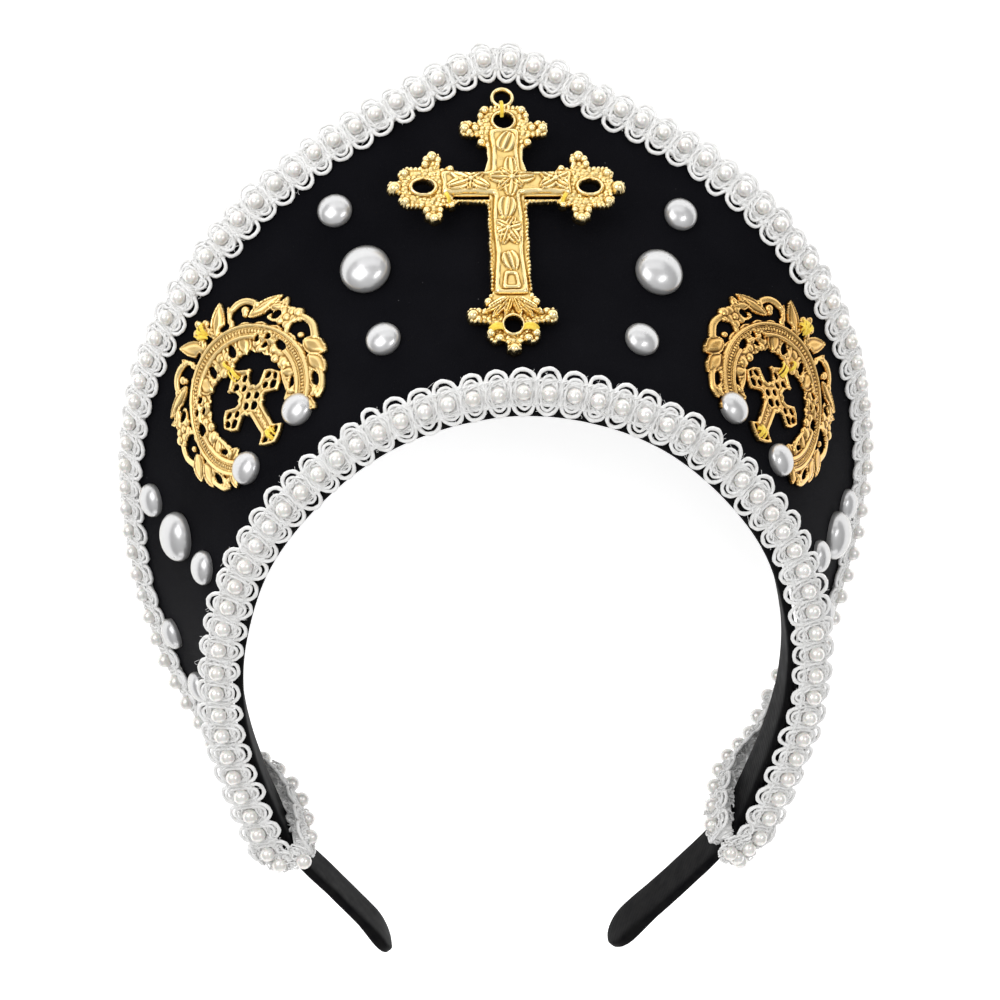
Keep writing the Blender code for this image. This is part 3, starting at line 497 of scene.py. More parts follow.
def lay_tufts(soup, chart, gathered):
    """Short curls of cord at the gathered ends, down to the padding's foot."""
    length = chart.runs[-1]
    count = int(2 * gathered / chart.pitch * TUFTS)
    many = (count, 1)
    ends = rng.random(many) ** 1.3 * gathered
    t = np.linspace(0, 1, TUFT_POINTS)
    bow = rng.uniform(2.5, 5.5, many) * t + TAU * rng.random(many)
    size = rng.uniform(0.7, 1.6, many)
    side = np.sign(rng.normal(size=many))
    spread = np.where(ends < 2.5, rng.uniform(0.5, TAPE_HALF, many), TAPE_HALF + 0.1)
    ends = np.where(np.arange(count)[:, None] % 2, ends, length - ends)
    floor = -gather_depth(ends, length, gathered)
    start = floor + rng.random(many) * (1.5 - floor)
    lay_cords(soup, chart, np.clip(ends + size * np.cos(bow), 0, length),
              side * (spread + 0.35 * np.cos(3 * t + bow)), start + size * np.sin(bow), 0.29,
              sides=4, ply=0)


def lay_knots(soup, chart):
    """Where both tapes meet over the band, a tangle of cord; returns its loose beads."""
    beads = []
    t = np.linspace(0, 1, TUFT_POINTS)
    middle = sum(KNOT_ACROSS) / 2
    for side, reach, loose in KNOTS:
        row = chart.table[0 if side < 0 else -1]
        up, across = row[3:6], row[6:9]
        end = row[0:3], side * np.cross(across, up), across, up
        curls = int(KNOT_CURLS * (reach + 2))
        for radius, count, long in ((KNOT_CORD, curls, 1.0), (KNOT_THREAD, KNOT_THREADS, 2.2)):
            many = (count, 1)
            bow = rng.uniform(2.5, 5.5, many) / long * t + TAU * rng.random(many)
            size = long * rng.uniform(0.6, 1.4, many)
            out = rng.uniform(-2, reach, many)
            narrow = 1 - 0.45 * np.clip(out / reach, 0, 1)
            wide = middle + (rng.uniform(*KNOT_ACROSS, many) - middle) * narrow
            high = rng.uniform(0.6, 2.3, many) + 0.4 * np.sin(2 * bow)
            places = local(end, out + size * np.cos(bow), wide + size * np.sin(bow), high)
            sweep(soup, places, np.broadcast_to(up, places.shape), radius, sides=4, ply=0)
        beads += list(local(end, *np.array(loose).T))
    return beads


def lay_beads(soup, chart, loose):
    """A bead in the middle of each repeat, hardly out of line, and the loose ones."""
    many = chart.beads
    size = BEAD_RADIUS * rng.normal(1, 0.012, many).clip(0.97, 1.03)
    centres, _ = chart.place(chart.middles + rng.normal(0, 0.10, many), rng.normal(0, 0.12, many),
                             BEAD_CENTRE + rng.normal(0, 0.06, many).clip(-0.1, 0.1))
    tilt = turns(BEAD_RINGS, 0.5)[:, None] / 2
    turn = turns(BEAD_SIDES)
    ball = np.stack(np.broadcast_arrays(np.sin(tilt) * np.cos(turn), np.sin(tilt) * np.sin(turn),
                                        np.cos(tilt)), -1)
    for centre, radius in zip([*centres, *loose], [*size] + [BEAD_RADIUS] * len(loose)):
        soup.add_tube(centre + ball * radius, flip=True)


def lay_lace(name, node, chart, cord, bead, gathered=0.0, fine=True, knotted=False):
    """One beaded tape; gathered is the length of each end that is bunched up."""
    soup = Soup()
    lay_loops(soup, chart)
    lay_collars(soup, chart)
    if fine:
        lay_fine_work(soup, chart)
    lay_tape(soup, chart, gathered)
    lay_tufts(soup, chart, gathered)
    loose = lay_knots(soup, chart) if knotted else []
    make_piece(name + "_cords", soup, cord, [node], sharp=80)
    soup = Soup()
    lay_beads(soup, chart, loose)
    make_piece(name + "_beads", soup, bead, [node], sharp=80)


def lay_velvet(material):
    """The board in velvet, with a rounded rim; returns a tree of its front for laying things on."""
    rounding = HALO_THICK / 2
    margin = rounding * (1 - np.cos(np.radians([0, 25, 50, 70, 90])))
    share = margin / BOARD_WIDTH
    inner = np.linspace(share[-1], 1 - share[-1], 40)[1:-1]
    v = np.concatenate([share, inner, 1 - share[::-1]])
    share = margin / BOARD_HALF
    inner = np.linspace(-1 + share[-1], 1 - share[-1], 220)[1:-1]
    u = np.concatenate([-1 + share, inner, 1 - share[::-1]])
    across = corner_across(u)[:, None] * v
    along = np.broadcast_to(u[:, None], across.shape)
    height = rounding * (quarter_round(np.minimum(v, 1 - v) * BOARD_WIDTH / rounding)
                         * quarter_round((1 - np.abs(u)) * BOARD_HALF / rounding)[:, None])
    points, _, _, normal = halo_frame(along, across)
    front = points + normal * height[..., None]
    faces = grid_faces(*across.shape)
    soup = Soup()
    soup.add(front, faces[:, ::-1])
    soup.add(points - normal * height[..., None], faces)
    make_piece("halo_velvet", soup, material, ["halo_panel"], sharp=60)
    return BVHTree.FromPolygons(front.reshape(-1, 3).tolist(), faces.tolist())


def lay_band(material):
    """The padded satin strip with round edges, a stitched fold and full tips."""
    tip_share = 2 * TIP_LENGTH / BAND_PATH.length
    tip = 1 - tip_share * (1 - np.sin(np.radians(np.linspace(90, 0, 12))))
    right = np.concatenate([tip, np.linspace(1 - tip_share, 0, 110)[1:]])
    share = np.concatenate([right, -right[-2::-1]])
    over = np.clip((np.abs(share) - 1 + tip_share) / tip_share, 0, 1)
    round_off = np.sqrt(np.clip(1 - over ** 2, 0.0004, 1))
    near_tip = np.clip(1 - np.abs(np.abs(share) - 1 + 1.2 * tip_share) / (1.2 * tip_share), 0, 1)
    half_width = BAND_WIDTH / 2 * round_off
    half_thick = BAND_THICK / 2 * (1 + TIP_SWELL * near_tip) * np.maximum(round_off, 0.15) ** 0.5
    lean = np.clip((-share - LEAN_FROM) / (1 - LEAN_FROM), 0, 1) ** 1.5
    centre = BAND_PATH.at(share) + lean[:, None] * np.array([*LEFT_LEAN, 0])
    centre[:, 2] = FRONT_Z - BAND_WIDTH / 2
    turn = turns(BAND_SIDES, 0.5)
    across = signed_power(np.cos(turn), 0.55)
    deep = signed_power(np.sin(turn), 0.22)
    pucker = 0.06 * np.sin(share * 620)[:, None] * (np.abs(deep) > 0.93)
    out = half_thick[:, None] * across + pucker
    up = np.array([0, 0, 1.0]) * (half_width[:, None] * deep)[..., None]
    soup = Soup()
    soup.add_tube(centre[:, None] + band_outward(share)[:, None] * out[..., None] + up, flip=True)
    make_piece("headband_satin", soup, material, ["headband"], sharp=70)


def lay_pearls(material):
    """A smooth dome for each half-round pearl, placed by its solid and set down on the velvet."""
    turn = turns(PEARL_SIDES)[:, None]
    climb = np.radians(np.linspace(0, 84, PEARL_RINGS))
    inverse = np.linalg.inv(np.array(REST))
    for name in sorted(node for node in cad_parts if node.startswith("pearl_")):
        points = np.array([v.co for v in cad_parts[name].data.vertices])
        points = np.unique(points.round(6), axis=0)
        _, axes = np.linalg.eigh(np.cov((points - points.mean(axis=0)).T))
        up = axes[:, 0] * np.sign(axes[2, 0])
        side = unit(np.cross(up, [0, 1.0, 0]))
        rise = np.cross(up, side)
        heights = points @ up
        base = heights.min()
        centre = points[heights < base + 1e-5].mean(axis=0)
        offset = points - centre
        radius = np.max(np.hypot(offset @ side, offset @ rise))
        full = heights.max() - base
        foot = [(0.955, -GAP * MM / full), (0.985, 0.05), (1.0, 0.12)]
        profile = foot + [(math.cos(a), 0.18 + 0.82 * math.sin(a)) for a in climb]
        rings = np.array([centre + up * full * high
                          + radius * width * (side * np.cos(turn) + rise * np.sin(turn))
                          for width, high in profile])
        soup = Soup()
        soup.add_tube(rings @ inverse[:3, :3].T + inverse[:3, 3])
        make_piece(name + "_dome", soup, material, [name], sharp=60)


class Bed:
    """Height of the velvet over a flat frame, looked up between ray casts on a 1 mm grid."""

    STEP = 1.0
    PROBE = 30.0

    def __init__(self, tree, origin, side, rise, normal, reach):
        self.reach = reach
        places = np.arange(-reach, reach + self.STEP, self.STEP)
        self.heights = np.full((len(places), len(places)), np.nan)
        for i, y in enumerate(places):
            for j, x in enumerate(places):
                start = origin + side * x + rise * y + normal * self.PROBE
                hit = tree.ray_cast(Vector(start), Vector(-normal))[0]
                if hit is not None:
                    self.heights[i, j] = (np.array(hit) - origin) @ normal
        self.heights[np.isnan(self.heights)] = np.nanmin(self.heights)

    def at(self, x, y):
        limit = len(self.heights) - 1.001
        fx = np.clip((x + self.reach) / self.STEP, 0, limit)
        fy = np.clip((y + self.reach) / self.STEP, 0, limit)
        j, i = fx.astype(int), fy.astype(int)
        fx, fy = fx - j, fy - i
        h = self.heights
        return ((h[i, j] * (1 - fx) + h[i, j + 1] * fx) * (1 - fy)
                + (h[i + 1, j] * (1 - fx) + h[i + 1, j + 1] * fx) * fy)


class Relief:
    """A casting as a field: how far inside the metal each place is, and how high it stands."""

    EDGE_HEIGHT = 0.35

    def __init__(self, left, right, low, high, pitch, edge=0.45, contrast=3.2):
        self.x, self.y = np.meshgrid(np.arange(left, right, pitch), np.arange(low, high, pitch))
        self.pitch, self.edge, self.contrast = pitch, edge, contrast
        self.metal = np.full(self.x.shape, -9.0)
        self.height = np.zeros(self.x.shape)

    def emboss(self, depth, height, adds=False):
        """Raises what is there to a height where depth is positive; adds also adds metal there."""
        if adds:
            self.metal = np.maximum(self.metal, depth)
        self.height = np.where(depth > 0, np.maximum(self.height, height), self.height)

    def ridge(self, distance, half, base, crest, adds=False, within=np.inf):
        """A half-round ridge along where distance is 0, and only where within is positive."""
        height = base + (crest - base) * half_round(distance / half)
        self.emboss(np.minimum(half - distance, within), height, adds)

    def cut(self, depth):
        self.metal = np.minimum(self.metal, -depth)

    def oval(self, x, y, half_width, half_height, turn=0.0):
        dx, dy = self.turned(x, y, turn)
        reach = np.hypot(dx / half_width, dy / half_height)
        return (1 - reach) * min(half_width, half_height)

    def turned(self, x, y, turn):
        c, s = math.cos(math.radians(turn)), math.sin(math.radians(turn))
        dx, dy = self.x - x, self.y - y
        return dx * c + dy * s, -dx * s + dy * c

    def distance(self, points):
        """Distance to an open polyline."""
        best = np.full(self.x.shape, 1e9)
        for a, b in zip(points, points[1:]):
            run = b - a
            t = np.clip(((self.x - a[0]) * run[0] + (self.y - a[1]) * run[1]) / (run @ run), 0, 1)
            best = np.minimum(best, np.hypot(self.x - a[0] - t * run[0], self.y - a[1] - t * run[1]))
        return best

    def polygon(self, points):
        """Depth inside a closed outline."""
        points = np.asarray(points, float)
        best = self.distance(np.vstack([points, points[:1]]))
        odd = np.zeros(self.x.shape, bool)
        for a, b in zip(points, np.roll(points, -1, axis=0)):
            if a[1] != b[1]:
                spans = (a[1] > self.y) != (b[1] > self.y)
                odd ^= spans & (self.x < a[0] + (self.y - a[1]) * (b[0] - a[0]) / (b[1] - a[1]))
        return np.where(odd, best, -best)

    def stroke(self, points, width, base, crest):
        """A half-round bar along a curve."""
        best = self.distance(Path(points).at(np.linspace(-1, 1, 3 * len(points) + 4)))
        self.ridge(best, width / 2, base, crest, adds=True)

    def ball(self, x, y, radius, base, crest, adds=True):
        self.ridge(np.hypot(self.x - x, self.y - y), radius, base, crest, adds)

    def leaf(self, start, end, half, base, crest):
        """A leaf with a rim, a groove inside it and a smooth raised heart."""
        length = math.dist(start, end)
        s, t = self.turned(*start, math.degrees(math.atan2(end[1] - start[1], end[0] - start[0])))
        s = s / length
        belly = half * np.sin(math.pi * np.clip(s, 0, 1) ** 0.85) ** 0.75
        depth = np.where((s > 0) & (s < 1), belly - np.abs(t), -np.hypot(t, np.abs(s - 0.5) * length))
        rim = 0.22 * (1 - smooth((depth - 0.3) / 0.2))
        heart = (crest - base) * smooth((depth - 0.5) / (0.5 * half + 0.05))
        self.emboss(depth, base + rim + heart, adds=True)

    def soften(self, field, rounds):
        """Rounds a field's corners by repeated small averages."""
        for axis in (0, 1) * rounds:
            field = (np.roll(field, 1, axis) + 2 * field + np.roll(field, -1, axis)) / 4
        return field

    def petal(self, x, y, turn, length, half, base, crest):
        """A fluted petal embossed on what is there."""
        s, t = self.turned(x, y, turn)
        s = s / length
        belly = half * np.sin(math.pi * np.clip(s, 0.02, 1) ** 0.75) ** 0.5 + 1e-6
        across = t / belly
        dome = half_round(across) * smooth(np.minimum(s / 0.1, (1 - s) / 0.15))
        flutes = 0.74 + 0.26 * np.cos(across * math.pi * 2.7)
        depth = np.where((s > 0) & (s < 1), belly - np.abs(t), -1)
        self.emboss(depth, base + (crest - base) * dome * flutes)

    def mesh(self, lay):
        """Top, walls and bottom of the metal as points, faces and a painted shade value per point: low in
        hollows for painted shade, high on crests for painted highlight.
        """
        rows, columns = self.x.shape
        edge = quarter_round(self.metal / self.edge)
        low = np.minimum(self.EDGE_HEIGHT, self.height)
        height = low + (self.height - low) * edge
        blurred = self.soften(height, int(0.5 / self.pitch) + 2)
        # painted shade and highlight: how far a place sinks below or stands above its blurred surroundings,
        # later used to darken hollows and brighten crests in the colour
        cavity_shade = np.clip(0.5 + (height - blurred) * self.contrast, 0, 1)
        index = np.arange(rows * columns).reshape(rows, columns)
        a, b = index[:-1, :-1].ravel(), index[:-1, 1:].ravel()
        d, c = index[1:, :-1].ravel(), index[1:, 1:].ravel()
        corners = np.concatenate([np.stack([a, b, c], -1), np.stack([a, c, d], -1)])
        metal = self.metal.ravel()
        within = metal[corners] > 0
        inside = within.sum(-1)
        total = rows * columns

        def key(p, q):
            """A number for the place between two grid points, or for one grid point given twice."""
            return np.minimum(p, q) * total + np.maximum(p, q)

        whole = corners[inside == 3]
        top, border = [key(whole, whole)], []
        for wanted in (1, 2):
            flags = within[inside == wanted]
            odd = np.argmax(flags == (wanted == 1), axis=1)
            pick = (odd[:, None] + np.arange(3)) % 3
            p, q, r = np.take_along_axis(corners[inside == wanted], pick, 1).T
            pq, pr = key(p, q), key(p, r)
            if wanted == 1:
                top.append(np.stack([key(p, p), pq, pr], -1))
                border.append(np.stack([pq, pr], -1))
            else:
                top += [np.stack([key(q, q), key(r, r), pr], -1), np.stack([key(q, q), pr, pq], -1)]
                border.append(np.stack([pr, pq], -1))
        top, border = np.concatenate(top), np.concatenate(border)
        used = np.unique(top)
        top, border = np.searchsorted(used, top), np.searchsorted(used, border)
        first, second = np.divmod(used, total)
        plain = first == second
        t = metal[first] / np.where(plain, 1, metal[first] - metal[second]) * ~plain

        def between(values):
            flat = values.ravel()
            return flat[first] * (1 - t) + flat[second] * t

        x, y = between(self.x), between(self.y)
        z = np.where(plain, height.ravel()[first], self.EDGE_HEIGHT)
        tone = between(cavity_shade)
        count = len(used)
        points = np.concatenate([lay(x, y, z), lay(x, y, 0 * z)])
        walls = np.stack([border[:, 1], border[:, 0], border[:, 0] + count, border[:, 1] + count], -1)
        return points, top, top[:, ::-1] + count, walls, np.concatenate([tone, 0 * tone])


# Wreath, right half, millimetres from its centre; the left half mirrors it. Heights in the
# castings are over their backs: a base and a crest for each form.
RAIL_TOP = 18.6
RAIL_END = 17.2
RAIL_ENDS_AT = -43.0      # degrees
PLATE_INSIDE = 5.3        # plate's width inside and outside the rail's middle
PLATE_OUTSIDE = 2.5
RAIL_HALF = 1.9
RAIL_HEIGHT = 1.0
RAIL_LINES = (
    # place off the rail's middle, half width, crest
    (1.45, 0.5, 1.5), (-1.5, 0.55, 1.55), (0.72, 0.22, 1.25), (-0.75, 0.22, 1.25),
)
GRAIN_HALF = 0.45
GRAIN_PITCH = 0.95
WREATH_LEAVES = (
    # start x, y, end x, y, half width
    (1.6, 20.0, 8.5, 27.2, 2.0), (12.6, 18.1, 23.0, 17.0, 1.6), (19.6, 13.2, 23.9, 15.6, 1.0),
    (18.6, 16.8, 22.9, 12.6, 1.4), (21.2, 2.6, 24.3, -4.4, 2.2), (20.2, -1.8, 21.6, -9.2, 2.0),
    (13.2, -11.0, 15.0, -16.4, 1.5), (6.8, 10.2, 8.6, 17.2, 2.2), (16.6, 14.6, 21.2, 11.0, 1.3),
    (12.0, -0.6, 16.2, -4.6, 1.7), (18.6, -5.0, 17.6, -12.8, 1.4), (8.6, 20.6, 9.7, 24.6, 0.9),
    (2.8, 20.4, 0.9, 24.6, 1.0),
)
WREATH_BLOOMS = (
    # x, y, petals, reach, petal radius
    (0.0, 25.3, 5, 1.9, 1.15), (20.8, 10.9, 5, 2.0, 1.2), (12.9, 10.2, 5, 2.1, 1.25),
    (14.1, 0.9, 5, 1.1, 0.9), (17.1, -12.3, 4, 0.9, 0.8), (0.0, 13.2, 5, 2.3, 1.3),
)
WREATH_KNOBS = (
    # x, y, radius
    (0.0, 27.6, 0.95), (23.9, 10.0, 1.3), (14.1, 0.9, 1.4), (17.1, -12.3, 1.0), (12.9, 10.2, 0.8),
    (10.6, 8.7, 1.1), (13.5, 5.9, 1.0), (20.8, 10.9, 1.0), (5.2, 11.8, 0.9), (9.9, 22.9, 0.8),
    (16.4, 19.2, 0.9), (12.0, -6.9, 1.1), (23.0, 8.2, 0.8), (12.6, 3.4, 1.2), (3.0, 12.0, 0.8),
)
WREATH_SCROLLS = (
    # points, width
    (((7.4, 19.8), (9.0, 22.3), (11.6, 23.2), (14.4, 22.2), (16.0, 19.9), (15.6, 18.0)), 1.9),
    (((21.8, 9.6), (24.0, 8.2), (24.9, 5.0), (23.9, 1.6)), 1.9),
    (((18.4, 7.6), (20.0, 8.9), (22.2, 9.2)), 1.3),
    (((2.2, 16.8), (1.4, 14.0), (2.2, 11.9), (4.2, 11.7), (5.6, 13.2)), 1.1),
    (((15.4, 9.0), (14.1, 6.8), (14.0, 4.0), (15.6, 2.4)), 1.4),
    (((12.6, -1.0), (11.7, -3.4), (11.6, -5.8), (12.6, -7.8)), 1.3),
    (((20.4, -4.6), (20.6, -8.0), (19.0, -12.0), (17.0, -13.6)), 1.5),
)
WREATH_HOLES = (
    # x, y, half width, half height, turn in degrees
    (0.0, 23.1, 0.65, 0.65, 0), (5.6, 20.75, 1.5, 0.75, -18), (11.6, 20.5, 3.0, 1.6, -14),
    (18.9, 13.5, 1.4, 1.0, -20), (16.2, 14.9, 0.6, 0.5, 0), (21.9, 5.4, 1.6, 2.4, 10),
    (18.7, -8.9, 0.85, 2.0, -12), (3.8, 14.2, 0.95, 1.8, -6), (11.5, 11.7, 0.85, 0.7, 20),
    (14.2, 10.0, 0.7, 0.8, 0), (12.2, 8.7, 0.8, 0.65, -20), (15.7, 5.5, 0.95, 1.8, 12),
    (13.0, -5.2, 0.6, 1.5, -35),
)
LEAF_WIDER = 1.12
WREATH_CURLS = (
    # x, y, radius of the knobs that stand inside two of the openings
    (21.2, 4.3, 0.85), (12.9, 20.3, 1.1), (12.2, 19.4, 0.8),
)


def draw_wreath():
    """A C-shaped rail on a plate, with its lines and grains, and the foliage over it."""
    relief = Relief(-30, 30, -19, 30, 0.23, edge=0.35, contrast=6.0)
    far = np.hypot(relief.x, relief.y)
    down = np.abs((np.degrees(np.arctan2(relief.y, relief.x)) + 90) % 360 - 180)
    ends_down = 90 - RAIL_ENDS_AT
    end = np.radians(ends_down - down) * far
    rail = RAIL_TOP + (RAIL_END - RAIL_TOP) * smooth(down / ends_down)
    ripple = 0.25 * np.sin(np.radians(down) * 26)
    width = np.minimum(far - rail + PLATE_INSIDE, rail + PLATE_OUTSIDE - far) + ripple
    texture = 0.08 * np.sin(np.radians(down) * 60 + far * 2.5)
    relief.emboss(np.minimum(width, end), 0.80 + texture, adds=True)
    relief.emboss(np.minimum(RAIL_HALF - np.abs(far - rail), end), RAIL_HEIGHT, adds=True)
    for offset, half, crest in RAIL_LINES:
        relief.ridge(np.abs(far - rail - offset), half, 0.95, crest, within=end)
    grains = 0.5 + 0.5 * np.cos(np.radians(down) * 18.0 / GRAIN_PITCH * TAU)
    relief.ridge(np.abs(far - rail), GRAIN_HALF, RAIL_HEIGHT, RAIL_HEIGHT + 0.5 * grains, within=end)
    for mirror in (1, -1):
        for points, width in WREATH_SCROLLS:
            relief.stroke([(mirror * px, py) for px, py in points], width, 0.75, 1.2)
        for x0, y0, x1, y1, half in WREATH_LEAVES:
            relief.leaf((mirror * x0, y0), (mirror * x1, y1), LEAF_WIDER * half, 0.9, 1.3)
        for px, py, petals, reach, radius in WREATH_BLOOMS:
            for k in range(petals):
                turn = TAU * k / petals
                relief.ball(mirror * (px - reach * math.sin(turn)), py + reach * math.cos(turn),
                            radius, 0.85, 1.3)
            relief.ball(mirror * px, py, reach, 0.85, 1.05)
        for px, py, radius in WREATH_KNOBS:
            relief.ball(mirror * px, py, radius, 0.9, 1.0 + 0.5 * radius)
    for mirror in (1, -1):
        for px, py, half_width, half_height, turn in WREATH_HOLES:
            relief.cut(relief.oval(mirror * px, py, half_width, half_height, mirror * turn))
        for px, py, radius in WREATH_CURLS:
            relief.ball(mirror * px, py, radius, 0.8, 1.0 + radius / 3)
    return relief


# Small cross, right half from the head's tip down, millimetres from its crossing
MINI_TOP = 10.6
MINI_FOOT = -15.2
MINI_OUTLINE = (
    # x, y
    (0.6, 10.2), (1.3, 9.0), (2.7, 7.9), (4.2, 6.7), (3.3, 5.9), (2.4, 4.6), (2.1, 2.9), (3.1, 2.6),
    (3.4, 1.7), (4.6, 1.6), (6.1, 2.5), (7.6, 3.5), (9.3, 2.3), (10.7, 0.0), (9.3, -2.3),
    (7.6, -3.6), (6.1, -2.7), (4.6, -1.8), (3.4, -1.9), (3.1, -3.0), (2.2, -3.3), (2.0, -10.3),
    (2.6, -11.2), (4.2, -12.3), (2.6, -13.8), (1.0, -14.8),
)
MINI_EDGE = 0.15          # by which the metal reaches past the outline
MINI_FLAT = 0.9
MINI_RIM = 0.5
MINI_HOLES = (
    # x, y, half width, half height
    (0.0, 7.5, 0.7, 0.4), (1.75, 5.9, 0.85, 0.7), (0.0, 4.0, 0.75, 0.55), (0.0, 1.5, 0.75, 0.6),
    (2.05, -0.3, 0.75, 0.7), (0.0, -2.0, 0.95, 0.85), (7.6, 1.7, 0.8, 0.5), (9.2, 0.1, 0.6, 0.75),
    (5.5, 0.1, 0.75, 0.6), (7.5, -1.4, 1.0, 0.9), (2.0, -12.3, 0.75, 0.6), (0.0, -13.5, 0.7, 0.5),
)


def draw_mini_cross():
    """The small cross: a pierced plate with a rim, and grains down its foot."""
    relief = Relief(-12, 12, -16.5, 12, 0.2, edge=0.3, contrast=5.0)
    half = np.array(MINI_OUTLINE)
    outline = np.vstack([[(0, MINI_TOP)], half, [(0, MINI_FOOT)], half[::-1] * (-1, 1)])
    depth = relief.polygon(outline) + MINI_EDGE
    relief.emboss(depth, MINI_FLAT, adds=True)
    relief.ridge(np.abs(depth - MINI_RIM), MINI_RIM, MINI_FLAT, MINI_FLAT + 0.4)
    for y in np.arange(-10.4, -3.6, 0.85):
        relief.ball(0.35 * math.sin(4 * y), y, 0.55, 0.85, 1.2, adds=False)
    for mirror in (1, -1):
        for x, y, half_width, half_height in MINI_HOLES:
            relief.cut(relief.oval(mirror * x, y, 1.12 * half_width, 1.15 * half_height))
        relief.ball(mirror * 4.0, 6.7, 0.55, 0.9, 1.3)
    return relief


# Large cross, right half from the lower tip to the ring, millimetres from its crossing
CROSS_OUTLINE = (
    # half width, y
    (1.7, -47.9), (1.9, -45.9), (3.3, -45.2), (4.9, -45.8), (6.8, -43.3), (5.9, -40.2),
    (10.3, -39.8), (11.4, -37.7), (10.3, -35.7), (6.3, -36.0), (6.9, -33.8), (5.0, -30.8),
    (4.7, -27.0), (5.3, -25.0), (4.8, -20.3), (5.3, -16.7), (4.9, -13.0), (5.2, -10.4),
    (4.7, -6.8), (5.7, -5.1), (12.0, -4.7), (13.8, -6.4), (16.3, -5.6), (16.6, -9.4),
    (18.5, -10.1), (20.5, -9.0), (20.8, -6.1), (25.3, -5.8), (27.2, -4.0), (26.8, -2.0),
    (29.3, -1.6), (30.0, 0.0), (29.3, 1.6), (26.8, 2.0), (27.2, 4.0), (25.3, 5.8),
    (20.8, 6.1), (20.5, 8.8), (18.5, 9.9), (16.6, 9.4), (16.3, 5.6), (13.8, 6.4),
    (12.0, 4.9), (5.7, 5.1), (4.8, 7.8), (5.0, 11.4), (6.9, 12.8), (6.2, 14.4),
    (10.3, 14.8), (11.3, 17.0), (10.3, 19.1), (6.8, 18.9), (6.3, 21.4), (4.6, 23.5),
)
CROSS_HOLES = (
    # x, y, half width, half height
    (0.0, 19.0, 2.2, 2.1), (0.0, -40.7, 2.0, 2.2), (21.0, -0.6, 2.4, 1.8), (-21.0, -0.6, 2.4, 1.8),
)
CROSS_SLOTS = (
    # x, y, half width, half height
    (9.0, -3.45, 4.4, 0.42), (-9.0, -3.45, 4.4, 0.42),
)
CROSS_KNOBS = (
    # x, y, radius: right half
    (0.0, -47.4, 1.5), (3.6, -44.4, 1.3), (5.6, -42.9, 1.3), (9.9, -37.7, 1.5), (8.6, -38.9, 1.0),
    (8.5, -36.6, 1.0), (6.0, -34.0, 1.2), (18.5, -9.3, 1.4), (17.2, -8.6, 1.1), (19.9, -8.6, 1.1),
    (16.9, -6.9, 1.0), (20.4, -6.9, 1.1), (14.0, -5.4, 1.1), (28.2, -0.2, 1.7), (25.6, -4.2, 1.2),
    (25.6, 4.0, 1.2), (18.5, 9.0, 1.5), (17.0, 7.9, 1.1), (20.0, 8.1, 1.1), (17.2, 6.6, 0.9),
    (20.4, 6.6, 1.1), (14.0, 5.2, 1.1), (9.9, 17.0, 1.4), (8.8, 18.3, 1.0), (8.8, 15.8, 1.0),
    (7.2, 17.0, 1.1), (5.9, 12.6, 1.2), (4.7, 22.4, 1.2), (5.8, 20.6, 1.0),
)
VERTICAL_PANEL = (
    # half width, y
    (4.3, -31.9), (4.0, -27.0), (3.4, -20.0), (3.8, -13.0), (3.8, -9.0), (3.3, -3.4), (3.6, 3.8),
    (3.3, 10.5), (3.7, 13.5), (3.8, 16.6),
)
CROSS_PANEL = (
    # x, y of the level panel, right half
    (3.4, -2.6), (10.0, -2.3), (16.6, -2.9), (16.1, 0.8), (16.8, 4.3), (10.0, 3.8), (3.4, 4.0),
)
FLOWERS = (
    # x, y of the middle; direction in degrees, length and half width of each petal
    (1.4, 1.7, ((92, 6.0, 1.5), (6, 5.6, 1.4), (176, 5.4, 1.5), (262, 5.0, 1.5), (138, 4.0, 1.0),
                (45, 3.2, 0.9), (318, 3.4, 1.0), (222, 4.4, 1.1))),
    (12.4, 1.4, ((152, 4.0, 1.2), (212, 4.2, 1.3), (28, 4.0, 1.2), (325, 4.4, 1.2), (85, 2.3, 0.9))),
    (-9.0, 1.3, ((148, 6.2, 1.5), (200, 6.0, 1.4), (35, 3.6, 1.1), (332, 4.8, 1.3), (262, 2.9, 0.9))),
    (-0.2, -13.2, ((18, 4.0, 1.2), (66, 3.6, 1.0), (150, 4.0, 1.2), (205, 4.0, 1.2), (250, 4.4, 1.1),
                   (300, 4.6, 1.2))),
)
PETALS = (
    # x, y of the root, direction in degrees, length, half width
    (-0.6, -19.6, 284, 5.6, 1.6), (-0.8, 9.6, 68, 5.8, 1.8), (0.2, -3.6, 262, 6.2, 1.8),
    (0.6, -32.9, 326, 7.6, 0.9), (-0.6, -32.9, 214, 7.6, 0.9), (0.5, -33.0, 309, 6.6, 0.8),
    (-0.5, -33.0, 231, 6.6, 0.8), (0.3, -33.2, 289, 5.0, 0.7), (-0.3, -33.2, 251, 5.0, 0.7),
)
TABLET = ((-1.4, -25.6), (1.5, -25.8), (2.3, -30.4), (-2.2, -30.4))
RING_CENTRE_Y = 26.3
RING_RADIUS = 2.55
RING_HALF = 0.68
LINE_HALF = 0.45
ARM_TRIM = 0.4            # by which the side arms are set lower
FLAT_HEIGHT = 1.45
BORDER_PITCH = 1.12
PETAL_LONGER = 1.12
PETAL_WIDER = 1.38


def mirrored(half):
    """A closed outline from its right half."""
    half = np.array(half)
    return np.vstack([half, half[::-1] * (-1, 1)])


